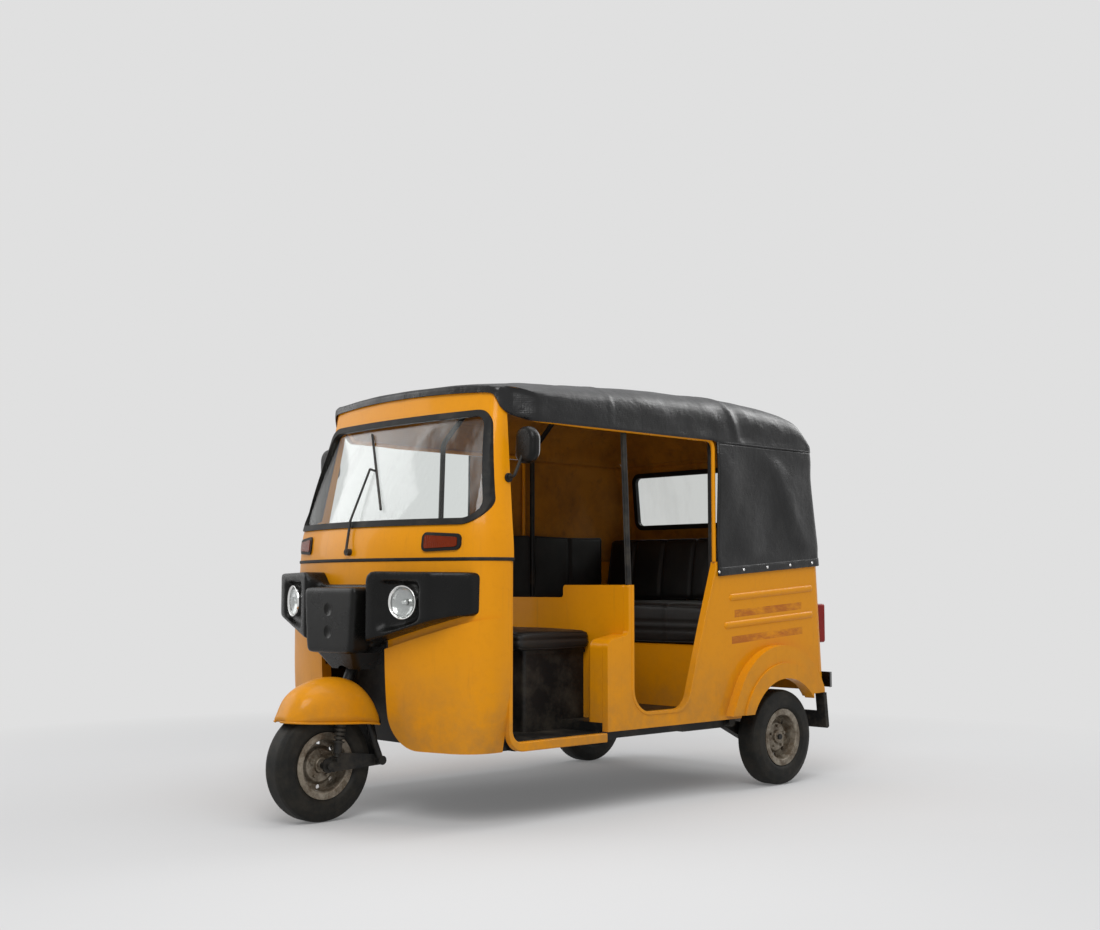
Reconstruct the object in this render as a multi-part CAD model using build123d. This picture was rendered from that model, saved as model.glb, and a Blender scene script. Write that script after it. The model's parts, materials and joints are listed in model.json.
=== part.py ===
"""Three-wheeled auto rickshaw with a steel cab and rear body, a canvas hood and a bench seat.

Row frame, in millimetres: +Z up, the vehicle faces -Y and its left side is +X. The origin lies on
the ground under the middle of its length and width.
"""
from build123d import *
from math import atan2, cos, degrees, radians, sin, sqrt, tan
import os

# Driving dimensions
WHEELBASE = 2000.0
FRONT_AXLE_Y = -1097.0
REAR_AXLE_Y = FRONT_AXLE_Y + WHEELBASE
TRACK = 1150.0
SEAT_GAP = 0.3            # between pieces that rest on each other
PANEL = 30.0              # thickness of a body wall
CANVAS = 5.0
BODY_HALF = 600.0
FLARE_HALF = 650.0
LINER_HALF = BODY_HALF - PANEL - SEAT_GAP

TYRE_R = 205.0
TYRE_HALF = 54.0
RIM_FLANGE_R = 122.0
RIM_HALF = 46.0
RIM_SHEET = 5.0
BEAD_R = 104.0
AXLE_R = 12.0
AXLE_PLAY = 0.05

STEER_TILT = 23.3
STEER_POINT = (0.0, -985.0, 470.0)
STEM_R = 21.0
STEM_TOP_Z = 1000.0
CROWN_Z = 428.0
CROWN_HIGH = 24.0
LEG_X = 80.0
LINK_X = (59.5, 66.5)
LEG_R = 12.0
LINK_PIVOT = (-872.0, 210.0)      # y, z
SHOCK_X = 84.0
SHOCK_LOW = (-1075.0, 238.3)      # y, z
SHOCK_TOP = (-1050.0, 426.5)      # y, z
SPRING_R = 22.0

SKIN = 25.0               # thickness of the cab shell
APRON_BOTTOM = 262.0
BEAD_Z = (953.0, 965.0)
CAB_TOP = 1603.0
DOOR_EDGE_Y = -690.0
DOOR_FRAME = 35.0
SILL_Z = (264.0, 298.0)
SILL_END_Y = -180.0
TOE_Y = -800.0
CAVITY_HALF = 200.0
CAVITY_TOP = 700.0

# Plan sections of the cab: height, half width, y where the corner starts, half width and y where
# the front starts, y of the middle of the front
CAB_SECTIONS = [
    (262.0, 560.0, -720.0, 400.0, -890.0, -912.0),
    (450.0, 596.0, -710.0, 345.0, -914.0, -938.0),
    (700.0, 606.0, -702.0, 335.0, -918.0, -948.0),
    (960.0, 605.0, -697.0, 330.0, -918.0, -950.0),
    (1090.0, 592.0, -672.0, 320.0, -896.0, -930.0),
    (1500.0, 495.0, -632.0, 300.0, -694.0, -730.0),
    (1603.0, 478.0, -622.0, 290.0, -689.0, -722.0),
]
CAB_BACK = {960.0: -655.0, 1090.0: -645.0, 1500.0: -610.0, 1603.0: -600.0}

# Windscreen outline seen from the front: half width and height, corner radius
SCREEN = [(566.0, 1084.0, 62.0), (438.0, 1518.0, 70.0)]
SEAL_WIDE = 20.0

# Body behind the partition
BODY_BOTTOM = 302.0
BODY_TOP = 975.0
BODY_REAR = {300.0: 1281.0, 1000.0: 1232.0}
CORNER_R = 60.0
FLOOR_TOP = 335.0
FLOOR_END_Y = 616.0
PARTITION_Y = (-60.0, -35.0)
PARTITION_MID_Z = 815.0
PARTITION_TOP_Z = 866.0
SHOULDER_X = 233.0
CONSOLE_X = 488.0
CONSOLE_TOP_Z = 650.0
DOOR_TOP_Z = 1463.0
CURTAIN_FRONT_Y = 150.0

# Passenger door in the side view: y, z, corner radius
DOOR_OUTLINE = [
    (-31.0, 1300.0, 0.0),
    (-31.0, 365.0, 95.0),
    (285.0, 365.0, 80.0),
    (393.0, 700.0, 200.0),
    (482.0, 958.0, 60.0),
    (482.0, 1300.0, 0.0),
]

ARCH_CENTRE = (900.0, 204.0)
ARCH_R = 256.0
FLARE_CENTRE = (885.0, 270.0)
FLARE_R = 334.0

LAMP_X = 350.0
LAMP_Z = 803.0
LAMP_R = 63.0

RAIL_Z = 1477.7
RAIL_R = 9.0
HOOP_R = 12.0
HOOD_SEAM_Z = 1470.0
HOOD_FRONT_HALF = 492.0
HOOD_EDGE_Z = 1474.0

# Sections of the hood's top: y, half width, height where the shoulder starts, half width and
# height where the crown starts, height of the crown
HOOD_SECTIONS = [
    (-738.0, 484.0, 1575.0, 400.0, 1610.0, 1624.0),
    (-560.0, 566.0, 1555.0, 452.0, 1628.0, 1652.0),
    (-290.0, 596.0, 1548.0, 456.0, 1650.0, 1680.0),
    (300.0, 602.0, 1550.0, 458.0, 1676.0, 1700.0),
    (760.0, 604.0, 1548.0, 458.0, 1674.0, 1700.0),
    (1060.0, 604.0, 1530.0, 452.0, 1640.0, 1664.0),
    (1130.0, 602.0, 1505.0, 444.0, 1576.0, 1598.0),
    (1198.0, 596.0, 1478.0, 430.0, 1492.0, 1500.0),
]
HOOD_REAR = {905.0: 1256.0, HOOD_SEAM_Z: 1199.0}
HOOD_HALF = {905.0: 607.0, HOOD_SEAM_Z: 604.0}
HEM_FRONT = (492.0, 903.0)        # y, z of the hem at its front corner
HEM_REAR = (1256.0, 955.0)

WINDOW_HALF = 520.0
WINDOW_Z = (1155.0, 1425.0)
WINDOW_R = 40.0

LID_HALF = 380.0
LID_Z = (500.0, 868.0)
LID_GAP = 4.0
LID_HINGE_Z = 874.0

PLATE_SPACING = 170.0
PLATE_HOLE_R = 3.5
PLATE_Z = 436.0

OUT = "parts"


def unit(a, b):
    """Unit vector in the plane from a to b."""
    dx, dy = b[0] - a[0], b[1] - a[1]
    n = sqrt(dx * dx + dy * dy)
    return dx / n, dy / n


def corner(before, at, after, radius):
    """Start, middle and end of the arc that rounds the corner at."""
    u, v = unit(at, before), unit(at, after)
    dot = max(-1.0, min(1.0, u[0] * v[0] + u[1] * v[1]))
    half = atan2(sqrt(1 - dot * dot), dot) / 2
    leg = radius / tan(half)
    bx, by = u[0] + v[0], u[1] + v[1]
    n = sqrt(bx * bx + by * by)
    bx, by = bx / n, by / n
    reach = radius / sin(half)
    middle = (at[0] + bx * (reach - radius), at[1] + by * (reach - radius))
    start = (at[0] + u[0] * leg, at[1] + u[1] * leg)
    end = (at[0] + v[0] * leg, at[1] + v[1] * leg)
    return start, middle, end


def outline(rows):
    """Face in the XY plane from rows of x, y and corner radius."""
    edges, first, last = [], None, None
    n = len(rows)
    for i, (x, y, radius) in enumerate(rows):
        if radius > 0:
            before, after = rows[i - 1][:2], rows[(i + 1) % n][:2]
            start, middle, end = corner(before, (x, y), after, radius)
        else:
            start = middle = end = (x, y)
        if last is not None:
            edges.append(Edge.make_line(last, start))
        if radius > 0:
            edges.append(Edge.make_three_point_arc(start, middle, end))
        first = first or start
        last = end
    edges.append(Edge.make_line(last, first))
    return Face(Wire(edges))


def along_x(rows, x0, x1):
    """Prism along X of an outline given as y, z and corner radius."""
    return Pos(x0, 0, 0) * extrude(Plane.YZ * outline(rows), amount=x1 - x0, dir=(1, 0, 0))


def along_y(rows, y0, y1):
    """Prism along Y of an outline given as x, z and corner radius."""
    return Pos(0, y0, 0) * extrude(Plane.XZ * outline(rows), amount=y1 - y0, dir=(0, 1, 0))


def along_z(rows, z0, z1):
    """Prism along Z of an outline given as x, y and corner radius."""
    return Pos(0, 0, z0) * extrude(outline(rows), amount=z1 - z0, dir=(0, 0, 1))


def block(x, y, z):
    """Box between two values on each axis."""
    return Pos((x[0] + x[1]) / 2, (y[0] + y[1]) / 2, (z[0] + z[1]) / 2) * Box(
        x[1] - x[0], y[1] - y[0], z[1] - z[0])


def rod(a, b, radius):
    """Round bar from a to b."""
    a, b = Vector(*a), Vector(*b)
    return Plane(origin=a, z_dir=(b - a)) * Cylinder(
        radius, (b - a).length, align=(Align.CENTER, Align.CENTER, Align.MIN))


def tube(points, radius, bend):
    """Round bar along straight runs joined by arcs."""
    path = FilletPolyline(*points, radius=bend)
    section = Plane(origin=path @ 0, z_dir=path % 0) * Circle(radius)
    return sweep(section, path=path)


def both(shape):
    """A shape and its mirror image on the other side of the vehicle."""
    return [shape, mirror(shape, about=Plane.YZ)]


def between(table, z):
    """Value at z from a table of two heights."""
    (z0, v0), (z1, v1) = sorted(table.items())
    return v0 + (v1 - v0) * (z - z0) / (z1 - z0)


def save(name, *shapes):
    """Writes one node from the solids of the shapes."""
    solids = [s for shape in shapes for s in (shape if isinstance(shape, list) else [shape])]
    solids = [part for s in solids for part in s.solids()]
    export_step(Compound(solids), os.path.join(OUT, name + ".step"))


# The cab

def cab_face(row, inset, back):
    """Plan section of the cab, moved in from its skin by inset, with its back edge at back."""
    z, half, side_y, front_x, front_y, nose_y = row
    half, front_y, nose_y = half - inset, front_y + inset, nose_y + inset
    bulge = sqrt(0.5)
    mid = (front_x + (half - front_x) * bulge, side_y - (side_y - front_y) * bulge)
    a, b, c = (half, back), (half, side_y), (front_x, front_y)
    edges = [
        Edge.make_line((-a[0], a[1]), (-b[0], b[1])),
        Edge.make_three_point_arc((-b[0], b[1]), (-mid[0], mid[1]), (-c[0], c[1])),
        Edge.make_three_point_arc((-c[0], c[1]), (0, nose_y), c),
        Edge.make_three_point_arc(c, mid, b),
        Edge.make_line(b, a),
        Edge.make_line(a, (-a[0], a[1])),
    ]
    return Pos(0, 0, z) * Face(Wire(edges))


def cab_row(z):
    """Section of the cab at any height, between the rows of the table."""
    for low, high in zip(CAB_SECTIONS, CAB_SECTIONS[1:]):
        if low[0] <= z <= high[0]:
            t = (z - low[0]) / (high[0] - low[0])
            return tuple(p + (q - p) * t for p, q in zip(low, high))
    raise ValueError(z)


def cab_back(z):
    """Rear edge of the upper cab at a height."""
    heights = sorted(CAB_BACK)
    for low, high in zip(heights, heights[1:]):
        if low <= z <= high:
            t = (z - low) / (high - low)
            return CAB_BACK[low] + (CAB_BACK[high] - CAB_BACK[low]) * t
    raise ValueError(z)


def apron_envelope(inset, back, top=BEAD_Z[0] - SEAT_GAP):
    """Solid inside the lower cab's skin, moved in by inset."""
    rows = [r for r in CAB_SECTIONS if r[0] < top - 50] + [cab_row(top)]
    return loft([cab_face(r, inset, back) for r in rows])


def upper_envelope(inset, bottom, top, opened=0.0):
    """Solid inside the upper cab's skin, moved in by inset, its back edge moved out by opened."""
    heights = [bottom] + [r[0] for r in CAB_SECTIONS if bottom + 5 < r[0] < top - 5] + [top]
    faces = [cab_face(cab_row(z), inset, cab_back(max(z, 960.0)) + opened) for z in heights]
    return loft(faces, ruled=True)


def screen_rows(grow):
    """Windscreen outline, grown outwards."""
    (low_x, low_z, low_r), (top_x, top_z, top_r) = SCREEN
    return [
        (-low_x - grow, low_z - grow, low_r + grow), (low_x + grow, low_z - grow, low_r + grow),
        (top_x + grow, top_z + grow, top_r + grow), (-top_x - grow, top_z + grow, top_r + grow),
    ]


def front_apron():
    """Lower cab skin with the opening for the fork between its two leg shields."""
    shell = apron_envelope(0, DOOR_EDGE_Y) - apron_envelope(SKIN, DOOR_EDGE_Y + 60)
    reach = CAVITY_HALF
    cavity = along_y([
        (-reach - 170, 200, 0), (reach + 170, 200, 0), (reach + 150, 268, 60), (reach, 430, 160),
        (reach, CAVITY_TOP, 40), (-reach, CAVITY_TOP, 40), (-reach, 430, 160),
        (-reach - 150, 268, 60)], -1100, DOOR_EDGE_Y - 40)
    return shell - cavity


def cab_upper():
    """Upper cab with its pillars, windscreen opening and roof header."""
    bottom = BEAD_Z[1] + SEAT_GAP
    shell = upper_envelope(0, bottom, CAB_TOP) - upper_envelope(SKIN, bottom, CAB_TOP - SKIN, 60)
    return shell - along_y(screen_rows(0), -1100, DOOR_EDGE_Y + 25)


def windscreen():
    """Curved pane set in its rubber seal."""
    low, high = SCREEN[0][1] - 30, SCREEN[1][1] + 30
    pane = upper_envelope(8, low, high, 20) - upper_envelope(13, low, high, 40)
    return pane & along_y(screen_rows(-SEAL_WIDE - SEAT_GAP), -1100, DOOR_EDGE_Y)


def windscreen_seal():
    """Rubber section round the windscreen."""
    low, high = SCREEN[0][1] - 40, SCREEN[1][1] + 40
    ring = upper_envelope(-7, low, high, 20) - upper_envelope(SKIN - 2, low, high, 40)
    frame = along_y(screen_rows(-SEAT_GAP), -1100, DOOR_EDGE_Y + 25)
    return ring & (frame - along_y(screen_rows(-SEAL_WIDE), -1100, DOOR_EDGE_Y + 30))


def waist_bead():
    """Rubber bead between the upper cab and the apron."""
    row = cab_row(sum(BEAD_Z) / 2)
    height = BEAD_Z[1] - BEAD_Z[0]
    outer = extrude(cab_face(row, -4, DOOR_EDGE_Y + 30), amount=height)
    inner = extrude(cab_face(row, SKIN, DOOR_EDGE_Y + 90), amount=height)
    return Pos(0, 0, -height / 2) * (outer - inner)


def door_frame():
    """Pressed rim of the driver's door on the left: the pillar's edge, its foot and the sill."""
    y0, y1 = DOOR_EDGE_Y + SEAT_GAP, DOOR_EDGE_Y + DOOR_FRAME
    low, high = SILL_Z
    top = BEAD_Z[0] - SEAT_GAP
    return along_x([
        (y0, top, 0), (y0, low, 70), (SILL_END_Y - SEAT_GAP, low, 0),
        (SILL_END_Y - SEAT_GAP, high, 0), (y1, high, 45), (y1, top, 0)],
        BODY_HALF - PANEL, BODY_HALF)


# The black front mouldings

FASCIA_FRONT = -985.0
FASCIA_HALF = 566.0
FASCIA_PLAN = [
    (-588.0, -826.0, 24.0), (-474.0, -984.0, 46.0), (-184.0, -1012.0, 8.0), (-168.0, -985.0, 6.0),
    (168.0, -985.0, 6.0), (184.0, -1012.0, 8.0), (474.0, -984.0, 46.0), (588.0, -826.0, 24.0),
    (588.0, -770.0, 0.0), (-588.0, -770.0, 0.0)]
FASCIA_FACE = [
    (-600.0, 757.0, 0.0), (-440.0, 762.0, 20.0), (-165.0, 660.0, 12.0), (-150.0, 640.0, 8.0),
    (150.0, 640.0, 8.0), (165.0, 660.0, 12.0), (440.0, 762.0, 20.0), (600.0, 757.0, 0.0),
    (600.0, 911.0, 0.0), (205.0, 915.0, 16.0), (160.0, 868.0, 12.0), (-160.0, 868.0, 12.0),
    (-205.0, 915.0, 16.0), (-600.0, 911.0, 0.0)]
POCKET = [(200.0, 700.0, 14.0), (428.0, 768.0, 26.0), (436.0, 884.0, 26.0), (206.0, 884.0, 22.0)]
POCKET_DEEP = 30.0


def headlamp_fascia():
    """Moulding that carries the headlamps and wraps round the corners of the cab."""
    blank = along_z(FASCIA_PLAN, 600, 950) & along_y(FASCIA_FACE, -1100, -700)
    blank &= block((-FASCIA_HALF, FASCIA_HALF), (-1100, -700), (600, 950))
    blank -= apron_envelope(-SEAT_GAP, DOOR_EDGE_Y + 80)
    floor_y = FASCIA_FRONT - 20 + POCKET_DEEP
    for side in (-1, 1):
        rows = [(side * x, z, r) for x, z, r in POCKET]
        blank -= along_y(rows[::side], -1100, floor_y)
        blank -= rod((side * LAMP_X, -1100, LAMP_Z), (side * LAMP_X, floor_y + 10, LAMP_Z), LAMP_R)
    return blank


def lamp_ring():
    """Chrome ring of the left headlamp."""
    rows = [(LAMP_R - 9, -985.5, 0), (LAMP_R - 3, -992, 2), (LAMP_R - SEAT_GAP, -984, 2),
            (LAMP_R - SEAT_GAP, -966, 0), (LAMP_R - 9, -966, 0)]
    ring = revolve(outline(rows), axis=Axis.Y)
    return Pos(LAMP_X, 0, LAMP_Z) * ring


def lamp_lens():
    """Domed glass of the left headlamp."""
    edge = LAMP_R - 9 - SEAT_GAP
    front, back = -993.0, -968.0
    dome = 170.0
    lens = rod((LAMP_X, front - 10, LAMP_Z), (LAMP_X, back, LAMP_Z), edge)
    return lens & (Pos(LAMP_X, front + dome, LAMP_Z) * Sphere(dome))


def grille_panel():
    """Centre panel in front of the steering column, with two plain round dimples."""
    front = -1037.0
    slab = along_y([(-142, 616, 16), (142, 616, 16), (160, 846, 12), (-160, 846, 12)],
                   front, FASCIA_FRONT - SEAT_GAP)
    slab = fillet(slab.faces().sort_by(Axis.Y)[0].edges(), 9)
    for z in (770.0, 690.0):
        slab -= Pos(0, front, z) * Sphere(22)
    return slab


def steer_axis_point(z):
    """Point of the steering axis at a height."""
    return (0, STEER_POINT[1] + (z - STEER_POINT[2]) * tan(radians(STEER_TILT)), z)


def fork_shroud():
    """Black housing round the steering column, with the scoop under the centre panel."""
    wide = CAVITY_HALF - SEAT_GAP
    front, back = -936.0, TOE_Y - SEAT_GAP
    low, high = 560.0, 655.0
    wall = 8.0
    box = along_z([(-wide, front, 10), (wide, front, 10), (wide, back, 30), (-wide, back, 30)], low, high)
    room = along_z([(-wide + wall, front - 20, 0), (wide - wall, front - 20, 0),
                    (wide - wall, back - wall, 24), (-wide + wall, back - wall, 24)],
                   low - 5, high - wall)
    scoop = along_z([(-150, -940, 0), (150, -940, 0), (120, -1020, 40), (-120, -1020, 40)], 560, 616 - SEAT_GAP)
    hollow = along_z([(-136, -925, 0), (136, -925, 0), (108, -1008, 30), (-108, -1008, 30)], 572, 630)
    shroud = (box - room) + (scoop - hollow)
    return shroud - rod(steer_axis_point(480), steer_axis_point(760), 50)


def front_indicator():
    """Lens of the left front indicator, on the corner of the cab."""
    plate = upper_envelope(-10, 985, 1070, 20) - upper_envelope(-SEAT_GAP, 985, 1070, 40)
    return plate & along_y([(345, 996, 8), (488, 1003, 8), (488, 1040, 8), (345, 1050, 8)], -1100, -760)


def skin_y(x, z):
    """Y of the cab's front skin at x and z, in its middle part."""
    row = cab_row(z)
    return row[5] + (row[4] - row[5]) * (x / row[3]) ** 2


def wiper():
    """Arm and blade resting on the windscreen."""
    def off(x, z, stand):
        return (x, skin_y(x, z) - stand, z)
    foot = off(-22, 990, 24)
    base = rod(off(-22, 990, -4), foot, 13)
    bend, knee = off(-36, 1112, 20), off(-66, 1318, 9)
    low, high = off(106, 1150, 5), off(-170, 1468, 5)
    middle = tuple((p + q) / 2 for p, q in zip(low, high))
    middle = (middle[0], middle[1] - 5, middle[2])
    arm = rod(foot, bend, 5) + rod(bend, knee, 4.5) + rod(knee, middle, 4.5)
    return base + arm + rod(low, high, 5) - upper_envelope(-SEAT_GAP, 966, 1080)


def mirror_unit():
    """Left mirror: foot on the pillar, bent arm and head."""
    foot = (565, -668, 1258)
    arm = tube([foot, (598, -668, 1262), (606, -640, 1330)], 6, 12)
    clamp = Pos(560, -668, 1258) * Rot(0, 90, 0) * Cylinder(16, 22)
    head = along_y([(560, 1292, 34), (676, 1292, 42), (680, 1464, 44), (566, 1464, 34)], -646, -596)
    head = fillet(head.faces().sort_by(Axis.Y)[0].edges(), 18)
    return clamp + arm + head - upper_envelope(-SEAT_GAP, 1200, 1320)


# The rear body

def body_ring(inset, low, high):
    """Solid inside the rear body's skin between two heights, moved in by inset."""
    faces = []
    for z in (low, high):
        half, rear = BODY_HALF - inset, between(BODY_REAR, z) - inset
        radius = CORNER_R - inset
        rows = [(-half, SILL_END_Y - inset * 2, 0), (half, SILL_END_Y - inset * 2, 0),
                (half, rear, radius), (-half, rear, radius)]
        faces.append(Pos(0, 0, z) * outline(rows))
    return loft(faces, ruled=True)


REAR_SPLIT_Y = 1205.0


def side_panel(left):
    """One side of the rear body with its door, wheel opening and pressed ribs."""
    shell = body_ring(0, 300, 1000) - body_ring(PANEL, 290, 1010)
    side = shell & block((0, 700), (-300, REAR_SPLIT_Y), (200, 1100))
    top = BODY_TOP
    keep = along_x([
        (SILL_END_Y, BODY_BOTTOM, 0), (SILL_END_Y, CONSOLE_TOP_Z, 36),
        (PARTITION_Y[0], CONSOLE_TOP_Z + 22, 20), (PARTITION_Y[0], PARTITION_TOP_Z, 8),
        (-31, PARTITION_TOP_Z, 0), (-31, 600, 0), (470, 600, 0), (470, top - 12, 0),
        (REAR_SPLIT_Y + 20, top + 18, 0), (REAR_SPLIT_Y + 20, 385, 0), (700, BODY_BOTTOM, 0)], 500, 640)
    side &= keep
    door = along_x(DOOR_OUTLINE, 500, 640)
    if left:
        side -= door
    else:
        side -= along_x([(-31, 1300, 0), (-31, 866, 0), (150, 866, 40), (150, 1300, 0)], 500, 640)
    arch = Pos(0, ARCH_CENTRE[0], ARCH_CENTRE[1]) * Rot(0, 90, 0) * Cylinder(ARCH_R + 20, 2000)
    side -= arch
    return side if left else mirror(side, about=Plane.YZ)


def side_rib(y0, y1, z0, z1):
    """Raised swage on the left quarter between two points of the side view."""
    slope = degrees(atan2(z1 - z0, y1 - y0))
    length = sqrt((y1 - y0) ** 2 + (z1 - z0) ** 2)
    bar = Box(7, length, 26)
    bar = fillet(bar.edges().filter_by(Axis.X), 12.9)
    bar = chamfer(bar.faces().sort_by(Axis.X)[-1].edges(), 4.5)
    return Pos(BODY_HALF + 3.5 - 0.01, (y0 + y1) / 2, (z0 + z1) / 2) * Rot(slope, 0, 0) * bar


def rear_panel():
    """Rear wall of the body with the opening for the engine lid."""
    shell = body_ring(0, 300, 1000) - body_ring(PANEL, 290, 1010)
    wall = shell & block((-700, 700), (REAR_SPLIT_Y + SEAT_GAP, 1400), (388, BODY_TOP + 18))
    low, high = LID_Z
    grow = LID_GAP
    return wall - along_y([
        (-LID_HALF - grow, low - grow, 24), (LID_HALF + grow, low - grow, 24),
        (LID_HALF + grow, high + grow + 8, 6), (-LID_HALF - grow, high + grow + 8, 6)], 1100, 1400)


def engine_lid():
    """Lid over the engine bay with pressed louvres."""
    wall = body_ring(-2, 300, 1000) - body_ring(14, 290, 1010)
    low, high = LID_Z
    lid = wall & along_y([(-LID_HALF, low, 20), (LID_HALF, low, 20), (LID_HALF, high, 4),
                          (-LID_HALF, high, 4)], 1200, 1400)
    for side in (-1, 1):
        for row in range(5):
            z = 590 + row * 34
            slot = along_y([(side * 190 - 110, z, 5), (side * 190 + 110, z, 5),
                            (side * 190 + 110, z + 12, 5), (side * 190 - 110, z + 12, 5)], 1200, 1300)
            lid -= slot
        lid += block(sorted((side * 230, side * 275)), (1236, 1256), (high - 10, high + LID_GAP + 8 - SEAT_GAP))
        lid += block(sorted((side * 230, side * 275)), (1262, 1280), (low - LID_GAP + SEAT_GAP, low + 10))
    return lid


def wheel_flare():
    """Bulged arch over the left rear wheel: a wide lip and a second step near the opening."""
    y, z = FLARE_CENTRE
    foot = (FLARE_R + 18) * 1.0
    wide = Pos(0, y, z) * Rot(0, 90, 0) * Cylinder(FLARE_R, 2 * (FLARE_HALF - 8))
    outer = wide & block((BODY_HALF + SEAT_GAP, FLARE_HALF - 8), (y - foot, 1192), (318, 700))
    outer += along_x([(y - foot + 2, 318, 0), (y - FLARE_R + 14, 318, 0), (y - FLARE_R + 42, 400, 0),
                      (y - FLARE_R + 24, 400, 0)], BODY_HALF + SEAT_GAP, FLARE_HALF - 8)
    step = Pos(0, 892, 236) * Rot(0, 90, 0) * Cylinder(292, 2 * FLARE_HALF)
    step = step & block((BODY_HALF + SEAT_GAP, FLARE_HALF), (y - foot, 1160), (318, 700))
    flare = outer + step
    flare -= block((0, 700), (1100, 1400), (200, 385))
    arch = Pos(0, ARCH_CENTRE[0], ARCH_CENTRE[1]) * Rot(0, 90, 0) * Cylinder(ARCH_R, 2000)
    return flare - arch


def floor_pan():
    """Stepped floor: footwell in front, passenger floor behind, toe board rising in front."""
    low, high = SILL_Z
    front, step = TOE_Y, -640.0
    wide = LINER_HALF
    well = block((-wide, wide), (step, SILL_END_Y), (low, high))
    rear = block((-wide, wide), (SILL_END_Y, FLOOR_END_Y), (BODY_BOTTOM, FLOOR_TOP))
    riser = block((-wide, wide), (SILL_END_Y, SILL_END_Y + PANEL), (low, FLOOR_TOP))
    toe = along_x([(step, low, 0), (step, high, 0), (front + 60, high, 20), (front + 20, 440, 20),
                   (front + 20, 580, 0), (front, 580, 0), (front, 430, 20), (front + 36, low, 0)],
                  -wide, wide)
    toe &= apron_envelope(SKIN + SEAT_GAP, step)
    return well + rear + riser + toe


def partition():
    """Wall behind the driver, raised at both sides, with a console box at each end."""
    y0, y1 = PARTITION_Y
    low = FLOOR_TOP + SEAT_GAP
    wide = LINER_HALF
    wall = along_y([
        (-wide, low, 0), (wide, low, 0), (wide, PARTITION_TOP_Z, 14), (SHOULDER_X, PARTITION_TOP_Z, 14),
        (SHOULDER_X, PARTITION_MID_Z, 14), (-SHOULDER_X, PARTITION_MID_Z, 14),
        (-SHOULDER_X, PARTITION_TOP_Z, 14), (-wide, PARTITION_TOP_Z, 14)], y0, y1)
    box = along_x([(SILL_END_Y, low, 0), (SILL_END_Y, CONSOLE_TOP_Z, 36),
                   (y0 + 2, CONSOLE_TOP_Z + 22, 0), (y0 + 2, low, 0)], CONSOLE_X, wide)
    box = fillet(box.edges().filter_by(Axis.Z).group_by(Axis.X)[0].sort_by(Axis.Y)[0], 20)
    return wall + box + mirror(box, about=Plane.YZ)


def seat_box():
    """Box under the driver's seat with its lid's lip."""
    y1 = PARTITION_Y[0] - SEAT_GAP
    low = SILL_Z[1] + SEAT_GAP
    body = along_z([(-350, -393, 16), (350, -393, 16), (350, SILL_END_Y, 0), (-350, SILL_END_Y, 0)], low, 600)
    back = block((-350, 350), (SILL_END_Y, y1), (FLOOR_TOP + SEAT_GAP, 600))
    lip = along_z([(-360, -403, 20), (360, -403, 20), (360, y1, 0), (-360, y1, 0)], 596, 612)
    return body + back + lip


def cushion(x, y, z, radius):
    """Plain rounded block for a cushion."""
    pad = along_z([(x[0], y[0], radius), (x[1], y[0], radius), (x[1], y[1], radius),
                   (x[0], y[1], radius)], z[0], z[1])
    return fillet(pad.faces().sort_by(Axis.Z)[-1].edges(), radius * 0.7)


SEAT_FRONT_Y = 560.0
SEAT_TOP_Z = 790.0


def rear_seat_base():
    """Box under the bench with its closed front, over the engine."""
    front = SEAT_FRONT_Y + 18
    wide = LINER_HALF - 70
    top = 607.0
    low = FLOOR_TOP + SEAT_GAP
    plate = block((-LINER_HALF, LINER_HALF), (front, front + PANEL), (low, top))
    shelf = block((-wide, wide), (front, 1100), (top - PANEL, top))
    return plate + shelf


def rear_backrest():
    """Backrest of the bench, leaning back."""
    return along_x([(1010, SEAT_TOP_Z + SEAT_GAP, 0), (1060, 1100, 30), (1180, 1100, 20), (1190, 792, 0)],
                   -560, 560)


def trim_panel():
    """Padded panel on the inside of the right wall."""
    x1 = -(BODY_HALF - PANEL - SEAT_GAP)
    panel = block((x1, x1 + 20), (160, 985), (800, 1100))
    return panel - block((x1, x1 + 30), (HOOP_C_Y - HOOP_R - 1, HOOP_C_Y + HOOP_R + 1), (790, 1110))


def hood_rib(y, low_z, side_x):
    """Steel hoop that carries the hood."""
    row = next(r for r in HOOD_SECTIONS if r[0] >= y)
    top = row[5] - CANVAS - HOOP_R - 14
    pts = [(side_x, y, low_z), (side_x, y, RAIL_Z + 30), (400, y, top - 22), (0, y, top),
           (-400, y, top - 22), (-side_x, y, RAIL_Z + 30), (-side_x, y, low_z)]
    return tube(pts, HOOP_R, 60)


HOOP_B_Y = -46.0
HOOP_C_Y = 506.0


def roof_frame():
    """Two hoops over the cabin and the rail over the doors on each side."""
    hoop_b = hood_rib(HOOP_B_Y, PARTITION_TOP_Z + SEAT_GAP, 555)
    hoop_c = hood_rib(HOOP_C_Y, FLOOR_TOP + SEAT_GAP, 553)
    rail = tube([(476, -616, 1534), (553, -500, 1484), (581.7, -290, RAIL_Z), (588, 482, RAIL_Z),
                 (588, 482, 990)], RAIL_R, 46)
    rail -= block((300, 700), (-800, -605.7), (1400, 1600))
    return [hoop_b, hoop_c, *both(rail)]


# The hood

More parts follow.
